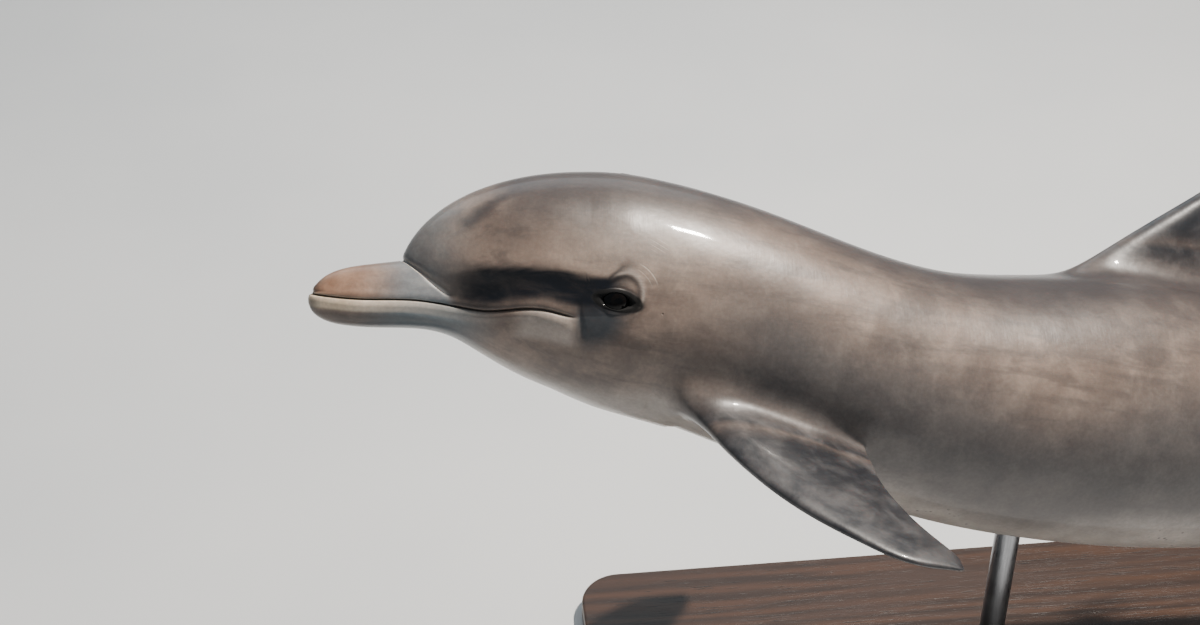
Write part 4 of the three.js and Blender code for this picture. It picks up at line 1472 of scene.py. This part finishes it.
def make_bolts(finish):
    """Four hexagon bolts with washers on the bolt circle of each flange."""
    first, second = ((*place, FLANGE_BASE + FLANGE_THICK) for place in ROD_PLACES)
    g = Geometry(
        "flange_bolts", first_flange=first, second_flange=second, bolt_circle=BOLT_CIRCLE,
        head_radius=.0072, head_height=.0042, washer_radius=.0092, washer_height=WASHER_THICK,
    )
    ends = {"Count": 2, "Start Location": g.given("first_flange"), "Offset": g.given("second_flange")}
    flanges = g.node("GeometryNodeMeshLine", ends, mode="END_POINTS").outputs[0]
    ring = g.node("GeometryNodeMeshCircle", {"Vertices": 4, "Radius": g.given("bolt_circle")}).outputs[0]
    points = g.at_points(flanges, ring)
    crown = g.node("GeometryNodeMeshCone", {
        "Vertices": 24, "Radius Top": .0050, "Radius Bottom": .0061, "Depth": .0006,
    }).outputs[0]
    on_washer = (0, 0, WASHER_THICK)
    head_top = g.node("ShaderNodeCombineXYZ", {"Z": g.given("head_height")}).outputs[0]
    head_middle = g.vector("MULTIPLY", head_top, (.5, .5, .5))
    bolt = g.node("GeometryNodeJoinGeometry")
    for shape, up in (
        (g.cylinder(40, "washer_radius", "washer_height"), (0, 0, WASHER_THICK / 2)),
        (g.cylinder(6, "head_radius", "head_height"), g.vector("ADD", head_middle, on_washer)),
        (crown, g.vector("ADD", head_top, on_washer)),
    ):
        g.tree.links.new(g.moved(shape, up), bolt.inputs[0])
    spun = g.node("FunctionNodeRandomValue", {"Max": (0, 0, 1.0), "Seed": 5}, data_type="FLOAT_VECTOR")
    bolts = g.at_points(points, bolt.outputs[0], Rotation=spun.outputs[0])
    coated = g.node("GeometryNodeSetMaterial", {"Geometry": bolts, "Material": finish})
    obj = g.plain_mesh("flange_bolts", coated.outputs[0])
    settle(obj, finish, "flange_steel")
    obj.data.polygons.foreach_set("use_smooth", np.zeros(len(obj.data.polygons), bool))


# ---------------------------------------------------------------- room, light and camera

FLOOR_REACH, FLOOR_DROP = 70.0, .0005


def make_floor():
    """A plain floor out to where it meets the room's light."""
    far, low = FLOOR_REACH, -FLOOR_DROP
    points = [(-far, -far, low), (far, -far, low), (far, far, low), (-far, far, low)]
    mesh = bpy.data.meshes.new("floor")
    mesh.from_pydata(points, [], [(0, 1, 2, 3)])
    mesh.materials.append(floor_finish())
    obj = bpy.data.objects.new("floor", mesh)
    bpy.context.scene.collection.objects.link(obj)


def soft_light(name, toward, distance, size, power, tone, aim=(-.3, 0, .6), mirrored=True):
    """A square light that looks at the aim; not mirrored, it leaves no window in the gloss."""
    lamp = bpy.data.lights.new(name, "AREA")
    lamp.shape = "RECTANGLE"
    lamp.size, lamp.size_y = size
    lamp.energy, lamp.color = power, tone
    obj = bpy.data.objects.new(name, lamp)
    bpy.context.scene.collection.objects.link(obj)
    direction = Vector(toward).normalized()
    obj.location = Vector(aim) + direction * distance
    obj.rotation_euler = direction.to_track_quat("Z", "Y").to_euler()
    obj.visible_glossy = mirrored


def make_lights():
    """A warm key from above, a soft cool fill from the front, and a broad light behind the back."""
    soft_light("key", (.436, .141, .889), 3.4, (.17, .17), 300, (1.0, .93, .84), aim=(-.50, 0, .86))
    soft_light("front_fill", (-.55, -.75, .45), 4.2, (3.4, 2.2), 12, (.86, .94, 1.0), mirrored=False)
    soft_light("back_rim", (-.15, .92, .50), 3.8, (4.2, 1.8), 30, (.84, .94, 1.0))


def make_room():
    """Even light from all round, a little weaker near the horizon, where it meets the far floor."""
    world = bpy.data.worlds.new("room")
    bpy.context.scene.world = world
    world.use_nodes = True
    nodes, links = world.node_tree.nodes, world.node_tree.links
    direction = nodes.new("ShaderNodeTexCoord")
    upward = nodes.new("ShaderNodeSeparateXYZ")
    links.new(direction.outputs["Generated"], upward.inputs[0])
    strength = nodes.new("ShaderNodeMapRange")
    strength.interpolation_type = "SMOOTHSTEP"
    for name, value in (("From Min", 0.0), ("From Max", .30), ("To Min", .245), ("To Max", .33)):
        strength.inputs[name].default_value = value
    links.new(upward.outputs[2], strength.inputs["Value"])
    background = nodes["Background"]
    background.inputs[0].default_value = (.80, .87, .92, 1)
    links.new(strength.outputs[0], background.inputs[1])


CAMERA_FROM_NOSE = (.1505, -1.8172, 1.2775)
CAMERA_LENS, CAMERA_SENSOR = 56.3, 36
CAMERA_SIDEWAYS, CAMERA_DOWN = math.radians(-6.05), math.radians(36)


def make_camera():
    """The camera on the animal's left, over it and looking down."""
    lens = bpy.data.cameras.new("camera")
    lens.lens, lens.sensor_width = CAMERA_LENS, CAMERA_SENSOR
    lens.clip_start, lens.clip_end = .05, 200
    obj = bpy.data.objects.new("camera", lens)
    bpy.context.scene.collection.objects.link(obj)
    obj.location = NOSE_PLACE + np.array(CAMERA_FROM_NOSE)
    obj.rotation_euler = (math.pi / 2 - CAMERA_DOWN, 0, CAMERA_SIDEWAYS)
    bpy.context.scene.camera = obj


make_camera()
make_skin()
eye_coat = eye_finish()
make_eye("dolphin_eye_left", -1, eye_coat)
make_eye("dolphin_eye_right", 1, eye_coat)
make_base()
post_steel = steel_finish("brushed_post", (150, 152, 156), (300, 300, 6))
collar_steel = steel_finish("turned_collar", (128, 130, 134), (60, 60, 240))
for name, place in zip(("front", "rear"), ROD_PLACES):
    make_rod("stand_rod_" + name, place, post_steel)
    make_flange("stand_flange_" + name, place, collar_steel)
make_bolts(collar_steel)
make_floor()
make_lights()
make_room()
